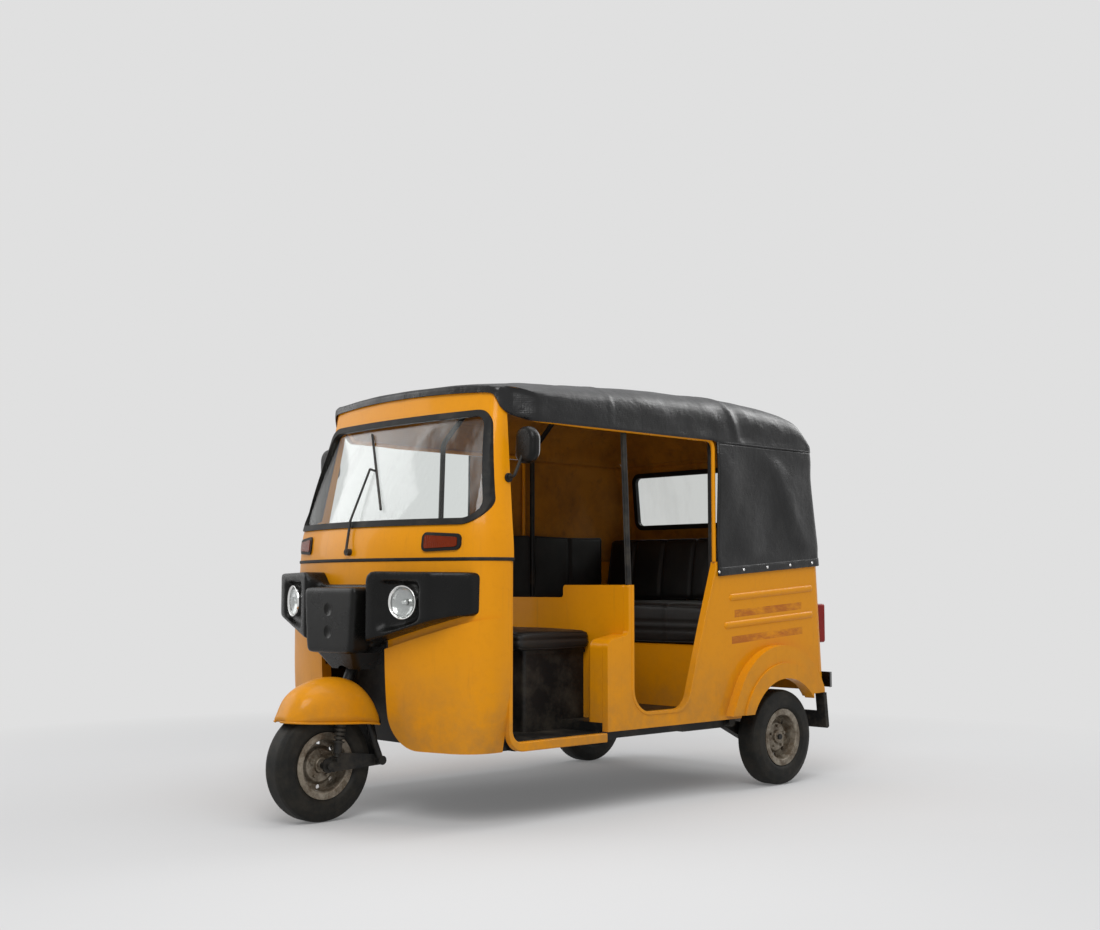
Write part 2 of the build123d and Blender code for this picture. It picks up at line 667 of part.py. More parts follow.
def hood_face(row, inset, drop):
    """Cross-section of the hood's top, moved in by inset, with its open bottom lowered by drop."""
    y, half, side_z, crown_x, crown_z, top_z = row
    half, side_z, crown_z, top_z = half - inset, side_z - inset * 0.4, crown_z - inset, top_z - inset
    crown_x -= inset * 0.4
    bottom = HOOD_SEAM_Z - drop
    mid_x = crown_x + (half - crown_x) * 0.76
    mid_z = side_z + (crown_z - side_z) * 0.66
    edges = [
        Edge.make_line((-half, bottom), (half, bottom)),
        Edge.make_line((half, bottom), (half, side_z)),
        Edge.make_three_point_arc((half, side_z), (mid_x, mid_z), (crown_x, crown_z)),
        Edge.make_three_point_arc((crown_x, crown_z), (0, top_z), (-crown_x, crown_z)),
        Edge.make_three_point_arc((-crown_x, crown_z), (-mid_x, mid_z), (-half, side_z)),
        Edge.make_line((-half, side_z), (-half, bottom)),
    ]
    return Pos(0, y, 0) * (Plane.XZ * Face(Wire(edges)))


def hood_top():
    """Roof of the hood with its side valances."""
    outer = loft([hood_face(r, 0, 0) for r in HOOD_SECTIONS], ruled=True)
    rows = [list(r) for r in HOOD_SECTIONS]
    rows[0][0] -= 30
    rows[-1][0] -= CANVAS
    inner = loft([hood_face(tuple(r), CANVAS, 60) for r in rows], ruled=True)
    half = HOOD_FRONT_HALF
    plan = along_z([(-640, 1400, 0), (-640, -300, 0), (-566, -560, 60), (-half, -632, 0), (half, -632, 0),
                    (566, -560, 60), (640, -300, 0), (640, 1400, 0)], 1400, 1800)
    plan += Pos(0, 0, -200) * extrude(cab_face(cab_row(CAB_TOP), CAB_SECTIONS[-1][1] - half, -600), amount=400,
                                      dir=(0, 0, 1))
    shell = (outer & plan) - inner
    brow = along_x([(-800, 1400, 0), (-800, 1592, 0), (-672, 1592, 60), (-596, 1512, 60),
                    (-520, HOOD_EDGE_Z, 60), (470, HOOD_EDGE_Z, 0), (486, 1450, 0), (486, 1400, 0)], -700, 700)
    return shell - brow


def hood_skirt():
    """Lower hood between the seam and the hem, all round the rear."""
    def ring(inset, low, high):
        faces = []
        for z in (low, high):
            half, rear = between(HOOD_HALF, z) - inset, between(HOOD_REAR, z) - inset
            radius = CORNER_R + 6 - inset
            faces.append(Pos(0, 0, z) * outline([(-half, 100 - inset * 3, 0), (half, 100 - inset * 3, 0),
                                                 (half, rear, radius), (-half, rear, radius)]))
        return loft(faces, ruled=True)
    top = HOOD_SEAM_Z - SEAT_GAP
    shell = ring(0, 880, top) - ring(CANVAS, 870, top + 10)
    hem = along_x([(0, 800, 0), (1400, 800, 0), (1400, HEM_REAR[1] + 9, 0), (0, HEM_FRONT[1] - 33, 0)],
                  -700, 700)
    return shell - hem


def hood_sides():
    """Left quarter, right curtain and rear curtain of the hood."""
    skirt = hood_skirt()
    split = 1120.0
    left = skirt & block((300, 700), (HEM_FRONT[0], split), (800, 1600))
    right = skirt & block((-700, -300), (CURTAIN_FRONT_Y, split), (800, 1600))
    rear = skirt & block((-700, 700), (split + SEAT_GAP, 1400), (800, 1600))
    rear -= along_y(window_rows(0), 1000, 1400)
    return left, right, rear


def window_rows(grow):
    """Outline of the rear window, grown outwards."""
    low, high = WINDOW_Z
    half, radius = WINDOW_HALF + grow, WINDOW_R + grow
    return [(-half, low - grow, radius), (half, low - grow, radius),
            (half, high + grow, radius), (-half, high + grow, radius)]


def rear_slab(y_in, y_out):
    """Slab that follows the slope of the rear curtain, measured from its outer face."""
    z0, z1 = 900.0, HOOD_SEAM_Z
    a, b = between(HOOD_REAR, z0), between(HOOD_REAR, z1)
    return along_x([(a + y_in, z0, 0), (a + y_out, z0, 0), (b + y_out, z1, 0), (b + y_in, z1, 0)],
                   -700, 700)


def rear_window():
    """Clear pane of the rear window."""
    return rear_slab(-4, -1) & along_y(window_rows(-14 - SEAT_GAP), 1000, 1400)


def rear_window_seal():
    """Black frame round the rear window."""
    ring = along_y(window_rows(-SEAT_GAP), 1000, 1400) - along_y(window_rows(-14), 1000, 1400)
    return rear_slab(-14, 6) & ring


# Rear fittings

def taillamp():
    """Left rear lamp."""
    lamp = along_y([(520, 604, 14), (586, 604, 10), (586, 780, 10), (520, 780, 14)], 1225, 1284)
    lamp = fillet(lamp.faces().sort_by(Axis.Y)[-1].edges(), 8)
    return lamp - body_ring(-SEAT_GAP, 300, 1000)


def rear_bumper():
    """Rear bumper: a bar with a rounded block at each end and two stays."""
    bar = along_z([(-622, 1262, 0), (-606, 1302, 14), (606, 1302, 14), (622, 1262, 0), (600, 1284, 6),
                   (-600, 1284, 6)], 402, 470)
    for side in (-1, 1):
        bar += block(sorted((side * 300, side * 345)), (1255, 1290), (412, 460))
        x = side * PLATE_SPACING / 2
        bar -= rod((x, 1250, PLATE_Z), (x, 1310, PLATE_Z), PLATE_HOLE_R)
    return bar - body_ring(-SEAT_GAP, 300, 1000)


def rear_mudflap():
    """Left rear mudflap behind the wheel."""
    flap = along_x([(1176, 384, 0), (1200, 384, 0), (1218, 230, 8), (1196, 222, 8)], 520, 645)
    return flap - body_ring(-SEAT_GAP, 300, 1000)


# Running gear

def rim():
    """Pressed wheel with hub and drum, about the X axis, its open face towards +X."""
    rows = [(-RIM_HALF, RIM_FLANGE_R, 0), (-RIM_HALF, BEAD_R - 8, 6), (-18, BEAD_R - 14, 8),
            (18, BEAD_R - 14, 8), (RIM_HALF, BEAD_R - 8, 6), (RIM_HALF, RIM_FLANGE_R, 0),
            (RIM_HALF - 4, RIM_FLANGE_R, 0), (RIM_HALF - 4, BEAD_R - SEAT_GAP, 5),
            (-RIM_HALF + 4, BEAD_R - SEAT_GAP, 5), (-RIM_HALF + 4, RIM_FLANGE_R, 0)]
    barrel = revolve(outline(rows), axis=Axis.X)
    disc_rows = [(4, 30, 0), (4, 56, 8), (-8, 66, 8), (-8, BEAD_R - 11, 0), (-2, BEAD_R - 11, 0),
                 (-2, 70, 8), (12, 60, 8), (14, 30, 0)]
    disc = revolve(outline(disc_rows), axis=Axis.X)
    for k in range(8):
        disc -= Rot(45 * k, 0, 0) * Pos(-6, 0, 80) * Rot(0, 90, 0) * Cylinder(9, 40)
    bore = AXLE_R + AXLE_PLAY
    hub_rows = [(-52, bore, 0), (-52, 74, 6), (-12, 74, 6), (-12, 40, 4), (4, 40, 0), (4, 32, 0),
                (26, 28, 5), (26, bore, 0)]
    hub = revolve(outline(hub_rows), axis=Axis.X)
    wheel = barrel + disc + hub
    for k in range(5):
        wheel += Rot(72 * k, 0, 0) * Pos(14, 0, 46) * Rot(0, 90, 0) * Cylinder(6, 16)
    return wheel


def tyre():
    """Tyre about the X axis, with a bulged wall and a flat tread."""
    r, half = TYRE_R, TYRE_HALF
    right = [(RIM_HALF - 4 - SEAT_GAP, BEAD_R, 5.3), (RIM_HALF - 4 - SEAT_GAP, RIM_FLANGE_R + 1, 3),
             (half, RIM_FLANGE_R + 14, 14), (half, r - 34, 24), (half - 10, r - 5, 12)]
    left = [(-x, y, rad) for x, y, rad in right[::-1]]
    crown = [(half * 0.5, r, 30), (-half * 0.5, r, 30)]
    return revolve(outline(right + crown + left), axis=Axis.X)


def crown_block(grow):
    """Plate that joins the fork's legs to its stem, grown by a clearance."""
    front = SHOCK_TOP[0] - SPRING_R - 4 - grow
    back = steer_axis_point(CROWN_Z + 6)[1] + 26 + grow
    wide, narrow = LEG_X + 24 + grow, LEG_X + 18 + grow
    return along_z([(-wide, front, 16), (wide, front, 16), (narrow, back, 12), (-narrow, back, 12)],
                   CROWN_Z - grow, CROWN_Z + CROWN_HIGH + grow)


def front_fork():
    """Steering stem, crown and the legs that reach behind the wheel."""
    top = steer_axis_point(STEM_TOP_Z)
    foot = steer_axis_point(CROWN_Z + 6)
    fork = rod(foot, top, STEM_R)
    y = foot[1]
    fork += crown_block(0)
    pivot_y, pivot_z = LINK_PIVOT
    inner = LINK_X[1] + SEAT_GAP
    for side in (-1, 1):
        x = side * LEG_X
        fork += tube([(x, y, CROWN_Z + 8), (x, y + 70, 350), (x, pivot_y, pivot_z)], LEG_R, 60)
        fork += rod((side * inner, pivot_y, pivot_z), (side * (LEG_X + 14), pivot_y, pivot_z), 17)
    return fork


def axle_and_links():
    """Front axle, the leading link on each side and the pin that carries the shock absorber."""
    pivot_y, pivot_z = LINK_PIVOT
    x0, x1 = LINK_X
    link = along_x([(FRONT_AXLE_Y - 24, TYRE_R - 24, 20), (FRONT_AXLE_Y + 24, TYRE_R - 22, 10),
                    (pivot_y + 20, pivot_z - 18, 16), (pivot_y + 20, pivot_z + 18, 16),
                    (FRONT_AXLE_Y + 60, TYRE_R + 44, 14), (FRONT_AXLE_Y - 24, TYRE_R + 24, 20)], x0, x1)
    y, z = SHOCK_LOW
    link += rod((x0, y, z - 9), (SHOCK_X + 14, y, z - 9), 9 - SEAT_GAP)
    axle = rod((-x1 - 12, FRONT_AXLE_Y, TYRE_R), (x1 + 12, FRONT_AXLE_Y, TYRE_R), AXLE_R)
    return axle + link + mirror(link, about=Plane.YZ)


def shock():
    """Left shock absorber with its coil spring drawn as stacked rings."""
    (y0, z0), (y1, z1) = SHOCK_LOW, SHOCK_TOP
    length = sqrt((y1 - y0) ** 2 + (z1 - z0) ** 2)
    r = SPRING_R
    rows = [(0, 0, 0), (9, 0, 0), (9, 14, 0), (15, 14, 0), (15, 52, 0), (r, 52, 0), (r, 58, 0)]
    pitch = 15.0
    coils = int((length - 82) / pitch)
    z = 58.0
    for _ in range(coils):
        rows += [(12, z, 0), (12, z + 7, 0), (r - 2, z + 7, 0), (r - 2, z + pitch, 0)]
        z += pitch
    rows += [(r, z, 0), (r, z + 8, 0), (10, z + 8, 0), (10, length, 0), (0, length, 0)]
    body = revolve(Plane.XZ * outline(rows), axis=Axis.Z)
    return Plane(origin=(SHOCK_X, y0, z0), z_dir=(0, y1 - y0, z1 - z0)) * body


# Sections of the front mudguard: y, half width, bottom, shoulder and crown heights
FENDER_SECTIONS = [
    (-1255.0, 64.0, 372.0, 380.0, 408.0),
    (-1215.0, 78.0, 369.0, 400.0, 468.0),
    (-1140.0, 100.0, 365.0, 420.0, 508.0),
    (-1055.0, 114.0, 361.0, 425.0, 524.0),
    (-975.0, 116.0, 357.0, 415.0, 510.0),
    (-925.0, 112.0, 352.0, 390.0, 468.0),
    (-897.0, 104.0, 347.0, 362.0, 412.0),
]


def fender_face(row, inset, drop):
    """Cross-section of the mudguard, moved in by inset, its bottom lowered by drop."""
    y, half, low, side, crown = row
    half, crown, low = half - inset, crown - inset, low - drop
    edges = [
        Edge.make_line((-half, low), (half, low)),
        Edge.make_line((half, low), (half * 0.98, side)),
        Edge.make_three_point_arc((half * 0.98, side), (half * 0.66, side + (crown - side) * 0.76), (0, crown)),
        Edge.make_three_point_arc((0, crown), (-half * 0.66, side + (crown - side) * 0.76), (-half * 0.98, side)),
        Edge.make_line((-half * 0.98, side), (-half, low)),
    ]
    return Pos(0, y, 0) * (Plane.XZ * Face(Wire(edges)))


def front_fender():
    """Mudguard over the front wheel, wide over the suspension."""
    sheet = 4.0
    outer = loft([fender_face(r, 0, 0) for r in FENDER_SECTIONS])
    rows = [list(r) for r in FENDER_SECTIONS]
    rows[0][0] -= 1
    rows[-1][0] += 1
    inner = loft([fender_face(tuple(r), sheet, 6) for r in rows])
    hole = rod(steer_axis_point(430), steer_axis_point(560), STEM_R + SEAT_GAP)
    return outer - inner - hole - crown_block(SEAT_GAP)


def front_mudflap():
    """Rubber flap closing the rear of the mudguard and hanging behind the front wheel."""
    y, half, low, side, crown = FENDER_SECTIONS[-1]
    plate = along_y([(-half, low, 0), (half, low, 0), (half * 0.98, side, 0), (half * 0.66, crown - 12, 0),
                     (0, crown, 0), (-half * 0.66, crown - 12, 0), (-half * 0.98, side, 0)], y, y + 7)
    flap = along_x([(y + 1, low + 25, 0), (y + 6, low + 25, 0), (y + 24, 300, 0), (y + 46, 196, 0),
                    (y + 38, 192, 0), (y + 17, 300, 0)], -55, 55)
    return Pos(0, SEAT_GAP, 0) * (plate + flap)


def handlebar():
    """Bar with its two grips and the lamp nacelle at the top of the stem."""
    x, y, z = steer_axis_point(STEM_TOP_Z + SEAT_GAP)
    y_end = y + 70
    bar = tube([(-285, y_end, z + 40), (-120, y, z + 16), (120, y, z + 16), (285, y_end, z + 40)], 11, 60)
    nacelle = along_z([(-60, y - 40, 24), (60, y - 40, 24), (70, y + 34, 24), (-70, y + 34, 24)],
                      z, z + 40)
    for side in (-1, 1):
        bar += rod((side * 180, y + 70 * 60 / 165, z + 16 + 24 * 60 / 165), (side * 285, y_end, z + 40), 16)
    return bar + nacelle - rod(steer_axis_point(CROWN_Z + 6), steer_axis_point(STEM_TOP_Z + 2), STEM_R + SEAT_GAP)


def dashboard():
    """Shelf under the windscreen, shaped to the inside of the cab, with a hole for the column."""
    shelf = along_z([(-560, -960, 0), (560, -960, 0), (560, -800, 40), (-560, -800, 40)], 880, 940)
    shelf &= apron_envelope(SKIN + SEAT_GAP, DOOR_EDGE_Y)
    return shelf - rod(steer_axis_point(860), steer_axis_point(960), STEM_R + 8)


HEAD_Z = (656.0, 860.0)
HEAD_R = 34.0
HEAD_PLAY = 0.05


def steering_head():
    """Bearing tube of the steering stem on a cross plate between the edges of the cab's front."""
    low, high = HEAD_Z
    wide = CAVITY_HALF - SEAT_GAP
    plate = block((-wide, wide), (-940, -815), (low, low + 9))
    tube_body = rod(steer_axis_point(low), steer_axis_point(high), HEAD_R)
    tube_body -= block((-100, 100), (-1000, -815), (low - 60, low))
    return plate + tube_body - rod(steer_axis_point(low - 40), steer_axis_point(high + 40), STEM_R + HEAD_PLAY)


ENGINE_HALF = 240.0
ARM_PIVOT = (FLOOR_END_Y + SEAT_GAP + 20.0, 284.0)


def trailing_arm():
    """Left rear trailing arm with the stub axle that carries the wheel."""
    y = REAR_AXLE_Y
    inner = 465.0
    pivot_y, pivot_z = ARM_PIVOT
    arm = along_x([(pivot_y - 12, pivot_z - 14, 12), (pivot_y - 12, pivot_z + 14, 12),
                   (y - 40, TYRE_R + 46, 20), (y + 44, TYRE_R + 40, 30), (y + 44, TYRE_R - 44, 30),
                   (y - 60, TYRE_R - 36, 20)], inner, inner + 40)
    pivot = rod((inner - 80, pivot_y, pivot_z), (inner + 90, pivot_y, pivot_z), 20)
    stub = rod((inner + 20, y, TYRE_R), (TRACK / 2 + 34, y, TYRE_R), AXLE_R)
    return arm + pivot + stub


def chassis():
    """Two longitudinal members under the floor with two cross members."""
    high = BODY_BOTTOM - SEAT_GAP
    rail = block((470, 530), (SILL_END_Y + PANEL + SEAT_GAP, FLOOR_END_Y), (266, high))
    cross = block((-530, 530), (560, FLOOR_END_Y), (262, high))
    front = block((-530, 530), (-120, -80), (262, high))
    rear = block((ENGINE_HALF + SEAT_GAP, ENGINE_HALF + 45), (FLOOR_END_Y, 1225), (262, high))
    side = rail + rear
    return side + mirror(side, about=Plane.YZ) + cross + front


def engine():
    """Plain block for the engine and gearbox in its real place, between the rear members."""
    return block((-ENGINE_HALF, ENGINE_HALF), (680, 1130), (215, 560))


def spokes_at(shape, x, y, flip=False):
    """A wheel piece moved to its axle, turned so that its open face looks outwards."""
    return Pos(x, y, TYRE_R) * (Rot(0, 0, 180) * shape if flip else shape)


def main():
    """Builds every node."""
    os.makedirs(OUT, exist_ok=True)
    ribs = [side_rib(565, 1165, 812, 852), side_rib(530, 1165, 694, 734)]
    left = side_panel(True)
    right = side_panel(False)
    for rib in ribs:
        left += rib
        right += mirror(rib, about=Plane.YZ)
    save("floor_pan", floor_pan())
    save("chassis_rails", chassis())
    save("front_apron", front_apron())
    save("cab_upper", cab_upper())
    save("door_frames", both(door_frame()))
    save("windscreen", windscreen())
    save("window_seals", windscreen_seal(), rear_window_seal())
    save("waist_bead", waist_bead())
    save("headlamp_fascia", headlamp_fascia())
    save("grille_panel", grille_panel())
    save("fork_shroud", fork_shroud())
    save("headlamp_rings", both(lamp_ring()))
    save("headlamp_lenses", both(lamp_lens()))
    save("front_indicators", both(front_indicator()))
    save("wiper", wiper())
    save("mirrors", both(mirror_unit()))
    save("side_panel_left", left)
    save("side_panel_right", right)
    save("rear_panel", rear_panel())
    save("engine_lid", engine_lid())
    save("wheel_flares", both(wheel_flare()))
    save("partition", partition())
    save("seat_box", seat_box())
    save("driver_cushion", cushion((-390, 390), (-455, PARTITION_Y[0] - 4), (612 + SEAT_GAP, 690), 32))
    save("rear_seat_base", rear_seat_base())
    save("rear_cushion", cushion((-478, 478), (SEAT_FRONT_Y, 1080), (607 + SEAT_GAP, SEAT_TOP_Z), 50))
    save("rear_backrest", rear_backrest())
    save("trim_panel", trim_panel())
    save("roof_frame", *roof_frame())
    side_left, side_right, side_rear = hood_sides()
    save("hood_top", hood_top())
    save("hood_left", side_left)
    save("hood_right", side_right)
    save("hood_rear", side_rear)
    save("rear_window", rear_window())
    save("taillamps", both(taillamp()))
    save("rear_bumper", rear_bumper())
    save("rear_mudflaps", both(rear_mudflap()))
    save("engine", engine())
    save("trailing_arms", both(trailing_arm()))
    save("dashboard", dashboard())
    save("steering_head", steering_head())
    save("front_fork", front_fork())
    save("front_links", axle_and_links())
    save("front_shocks", both(shock()))
    save("front_fender", front_fender())
    save("front_mudflap", front_mudflap())
    save("handlebar", handlebar())
    wheel, rubber = rim(), tyre()
    for name, x, y, flip in (("front", 0, FRONT_AXLE_Y, False),
                             ("rear_left", TRACK / 2, REAR_AXLE_Y, False),
                             ("rear_right", -TRACK / 2, REAR_AXLE_Y, True)):
        save("rim_" + name, spokes_at(wheel, x, y, flip))
        save("tyre_" + name, spokes_at(rubber, x, y, flip))


main()
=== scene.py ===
"""Looks of the auto rickshaw: camera, light, materials and the soft or fine pieces of the model."""
import json
import math

import bmesh
import bpy
from mathutils import Matrix, Vector, noise


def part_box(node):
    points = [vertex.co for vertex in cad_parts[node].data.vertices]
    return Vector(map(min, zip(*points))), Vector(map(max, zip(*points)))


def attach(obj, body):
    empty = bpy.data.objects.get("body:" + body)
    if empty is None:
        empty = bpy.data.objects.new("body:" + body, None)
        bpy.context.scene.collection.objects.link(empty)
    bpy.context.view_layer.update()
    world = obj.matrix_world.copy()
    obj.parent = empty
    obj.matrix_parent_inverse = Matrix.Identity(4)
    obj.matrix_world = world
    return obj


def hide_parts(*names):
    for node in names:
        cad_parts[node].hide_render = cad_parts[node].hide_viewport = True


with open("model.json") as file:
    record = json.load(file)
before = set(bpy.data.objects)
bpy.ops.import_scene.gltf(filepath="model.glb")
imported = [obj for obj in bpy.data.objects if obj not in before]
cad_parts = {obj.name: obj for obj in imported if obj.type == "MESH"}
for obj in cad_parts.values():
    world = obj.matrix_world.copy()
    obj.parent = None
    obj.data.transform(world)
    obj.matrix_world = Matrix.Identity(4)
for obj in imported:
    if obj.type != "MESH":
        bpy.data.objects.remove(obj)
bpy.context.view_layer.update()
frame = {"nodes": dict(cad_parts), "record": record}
nodes = frame["nodes"]


# Camera, floor and light

CAMERA = (4.33475, -4.10190, 0.86367)
AZIMUTH, PITCH = 45.995, 4.416
LENS = 45.63
SHIFT = (0.00087, 0.01166)
BACKDROP = 0.745


def view_camera():
    """Camera that stands where the photograph was taken."""
    a, p = math.radians(AZIMUTH), math.radians(PITCH)
    look = Vector((-math.sin(a) * math.cos(p), math.cos(a) * math.cos(p), math.sin(p)))
    data = bpy.data.cameras.new("camera")
    data.lens, data.sensor_width = LENS, 36
    data.shift_x, data.shift_y = SHIFT
    data.clip_end = 200
    cam = bpy.data.objects.new("camera", data)
    bpy.context.collection.objects.link(cam)
    cam.location = CAMERA
    cam.rotation_euler = look.to_track_quat("-Z", "Y").to_euler()
    bpy.context.scene.camera = cam


def lamp(name, place, target, size, power):
    """Square area lamp that points at a target."""
    data = bpy.data.lights.new(name, "AREA")
    data.shape, data.size, data.energy = "SQUARE", size, power
    obj = bpy.data.objects.new(name, data)
    bpy.context.collection.objects.link(obj)
    obj.location = place
    obj.rotation_euler = (Vector(target) - Vector(place)).to_track_quat("-Z", "Y").to_euler()


def mixed(tree, factor, first, second):
    """Mix of two shader nodes by a factor."""
    mix = tree.nodes.new("ShaderNodeMixShader")
    tree.links.new(factor, mix.inputs[0])
    tree.links.new(first.outputs[0], mix.inputs[1])
    tree.links.new(second.outputs[0], mix.inputs[2])
    return mix.outputs[0]


def studio():
    """World, lamps and the pale floor."""
    bpy.context.scene.view_settings.view_transform = "Standard"
    world = bpy.data.worlds.new("world")
    bpy.context.scene.world = world
    world.use_nodes = True
    t = world.node_tree
    t.nodes.clear()
    path = t.nodes.new("ShaderNodeLightPath")
    seen = t.nodes.new("ShaderNodeMath")
    seen.operation = "MAXIMUM"
    through = t.nodes.new("ShaderNodeMath")
    through.operation = "MAXIMUM"
    dim, plain = t.nodes.new("ShaderNodeBackground"), t.nodes.new("ShaderNodeBackground")
    dim.inputs[0].default_value = (0.9, 0.92, 0.95, 1)
    dim.inputs[1].default_value = 0.42
    plain.inputs[0].default_value = (BACKDROP, BACKDROP, BACKDROP, 1)
    plain.inputs[1].default_value = 1.0
    t.links.new(path.outputs["Is Camera Ray"], seen.inputs[0])
    t.links.new(path.outputs["Is Transmission Ray"], seen.inputs[1])
    t.links.new(seen.outputs[0], through.inputs[0])
    t.links.new(path.outputs["Is Glossy Ray"], through.inputs[1])
    out = t.nodes.new("ShaderNodeOutputWorld")
    t.links.new(mixed(t, through.outputs[0], dim, plain), out.inputs[0])
    lamp("key", (3.2, -3.6, 4.6), (0, -0.2, 0.8), 3.0, 190)
    lamp("fill", (-4.5, -3.0, 3.0), (0, 0, 0.8), 3.5, 80)
    lamp("back", (1.0, 4.6, 4.2), (0, 0.4, 1.0), 3.0, 110)
    lamp("top", (0.3, 0.3, 5.2), (0, 0.1, 0), 4.0, 120)
    floor_piece()


def floor_piece():
    """Round pale floor that fades into the backdrop."""
    mesh = bpy.data.meshes.new("floor")
    count, radius = 96, 30.0
    ring = [(radius * math.cos(2 * math.pi * k / count), radius * math.sin(2 * math.pi * k / count), 0)
            for k in range(count)]
    mesh.from_pydata(ring, [], [list(range(count))])
    floor = bpy.data.objects.new("floor", mesh)
    bpy.context.collection.objects.link(floor)
    mat = bpy.data.materials.new("floor")
    mat.use_nodes = True
    t = mat.node_tree
    t.nodes.clear()
    diffuse = t.nodes.new("ShaderNodeBsdfDiffuse")
    diffuse.inputs[0].default_value = (0.60, 0.60, 0.60, 1)
    glow = t.nodes.new("ShaderNodeEmission")
    glow.inputs[0].default_value = (BACKDROP, BACKDROP, BACKDROP, 1)
    out = t.nodes.new("ShaderNodeOutputMaterial")
    coord, dist = t.nodes.new("ShaderNodeTexCoord"), t.nodes.new("ShaderNodeVectorMath")
    dist.operation = "LENGTH"
    ramp = t.nodes.new("ShaderNodeMapRange")
    ramp.inputs["From Min"].default_value = 2.2
    ramp.inputs["From Max"].default_value = 4.2
    ramp.inputs["To Min"].default_value = 0.16
    t.links.new(coord.outputs["Object"], dist.inputs[0])
    t.links.new(dist.outputs["Value"], ramp.inputs["Value"])
    t.links.new(mixed(t, ramp.outputs[0], diffuse, glow), out.inputs[0])
    mesh.materials.append(mat)


# Materials

class Shade:
    """A Principled material with its colour, roughness and bump made from noise nodes."""

    def __init__(self, name, color, rough, metal=0.0, coat=0.0, coat_rough=0.1, sheen=0.0,
                 specular=0.5):
        self.mat = bpy.data.materials.new(name)
        self.mat.use_nodes = True
        self.t = self.mat.node_tree
        self.p = next(n for n in self.t.nodes if n.type == "BSDF_PRINCIPLED")
        self.color = self.rgb(color)
        self.rough = self.value(rough)
        self.height = None
        p = self.p
        p.inputs["Metallic"].default_value = metal
        p.inputs["Coat Weight"].default_value = coat
        p.inputs["Coat Roughness"].default_value = coat_rough
        p.inputs["Sheen Weight"].default_value = sheen
        p.inputs["Sheen Roughness"].default_value = 0.5
        p.inputs["Specular IOR Level"].default_value = specular
        self.coord = self.node("ShaderNodeTexCoord").outputs["Object"]
        self.normal = self.node("ShaderNodeNewGeometry").outputs["Normal"]

    def node(self, kind):
        return self.t.nodes.new(kind)

    def link(self, a, b):
        self.t.links.new(a, b)

    def rgb(self, color):
        n = self.node("ShaderNodeRGB")
        n.outputs[0].default_value = (*color, 1)
        return n.outputs[0]

    def value(self, number):
        n = self.node("ShaderNodeValue")
        n.outputs[0].default_value = number
        return n.outputs[0]

    def noise(self, scale, detail=3, rough=0.55, stretch=(1, 1, 1)):
        m = self.node("ShaderNodeMapping")
        m.inputs["Scale"].default_value = stretch
        self.link(self.coord, m.inputs["Vector"])
        n = self.node("ShaderNodeTexNoise")
        n.inputs["Scale"].default_value = scale
        n.inputs["Detail"].default_value = detail
        n.inputs["Roughness"].default_value = rough
        self.link(m.outputs[0], n.inputs["Vector"])
        return n.outputs["Fac"]

    def cells(self, scale):
        n = self.node("ShaderNodeTexVoronoi")
        n.inputs["Scale"].default_value = scale
        self.link(self.coord, n.inputs["Vector"])
        return n.outputs["Distance"]

    def ramp(self, source, low, high, to_low=0.0, to_high=1.0):
        n = self.node("ShaderNodeMapRange")
        n.inputs["From Min"].default_value = low
        n.inputs["From Max"].default_value = high
        n.inputs["To Min"].default_value = to_low
        n.inputs["To Max"].default_value = to_high
        self.link(source, n.inputs["Value"])
        return n.outputs[0]

    def math(self, kind, *values, clamp=True):
        n = self.node("ShaderNodeMath")
        n.operation = kind
        n.use_clamp = clamp
        for k, v in enumerate(values):
            if isinstance(v, (int, float)):
                n.inputs[k].default_value = v
            else:
                self.link(v, n.inputs[k])
        return n.outputs[0]

    def axis(self, which, source=None):
        n = self.node("ShaderNodeSeparateXYZ")
        self.link(source or self.coord, n.inputs[0])
        return n.outputs["XYZ".index(which)]

    def tint(self, mask, color):
        """Mixes a colour over what is there, by a mask from 0 to 1."""
        n = self.node("ShaderNodeMix")
        n.data_type = "RGBA"
        self.link(mask, n.inputs["Factor"])
        self.link(self.color, n.inputs["A"])
        n.inputs["B"].default_value = (*color, 1)
        self.color = n.outputs["Result"]

    def roughen(self, mask, rough):
        n = self.node("ShaderNodeMix")
        self.link(mask, n.inputs["Factor"])
        self.link(self.rough, n.inputs["A"])
        n.inputs["B"].default_value = rough
        self.rough = n.outputs["Result"]

    def bump(self, source, depth):
        """Adds a height from 0 to 1 times a depth in metres."""
        h = self.math("MULTIPLY", source, 1.0)
        n = self.node("ShaderNodeBump")
        n.inputs["Strength"].default_value = 1.0
        n.inputs["Distance"].default_value = depth
        self.link(h, n.inputs["Height"])
        if self.height:
            self.link(self.height, n.inputs["Normal"])
        self.height = n.outputs[0]

    def done(self):
        self.link(self.color, self.p.inputs["Base Color"])
        self.link(self.rough, self.p.inputs["Roughness"])
        if self.height:
            self.link(self.height, self.p.inputs["Normal"])
        return self.mat


YELLOW = (0.70, 0.270, 0.002)


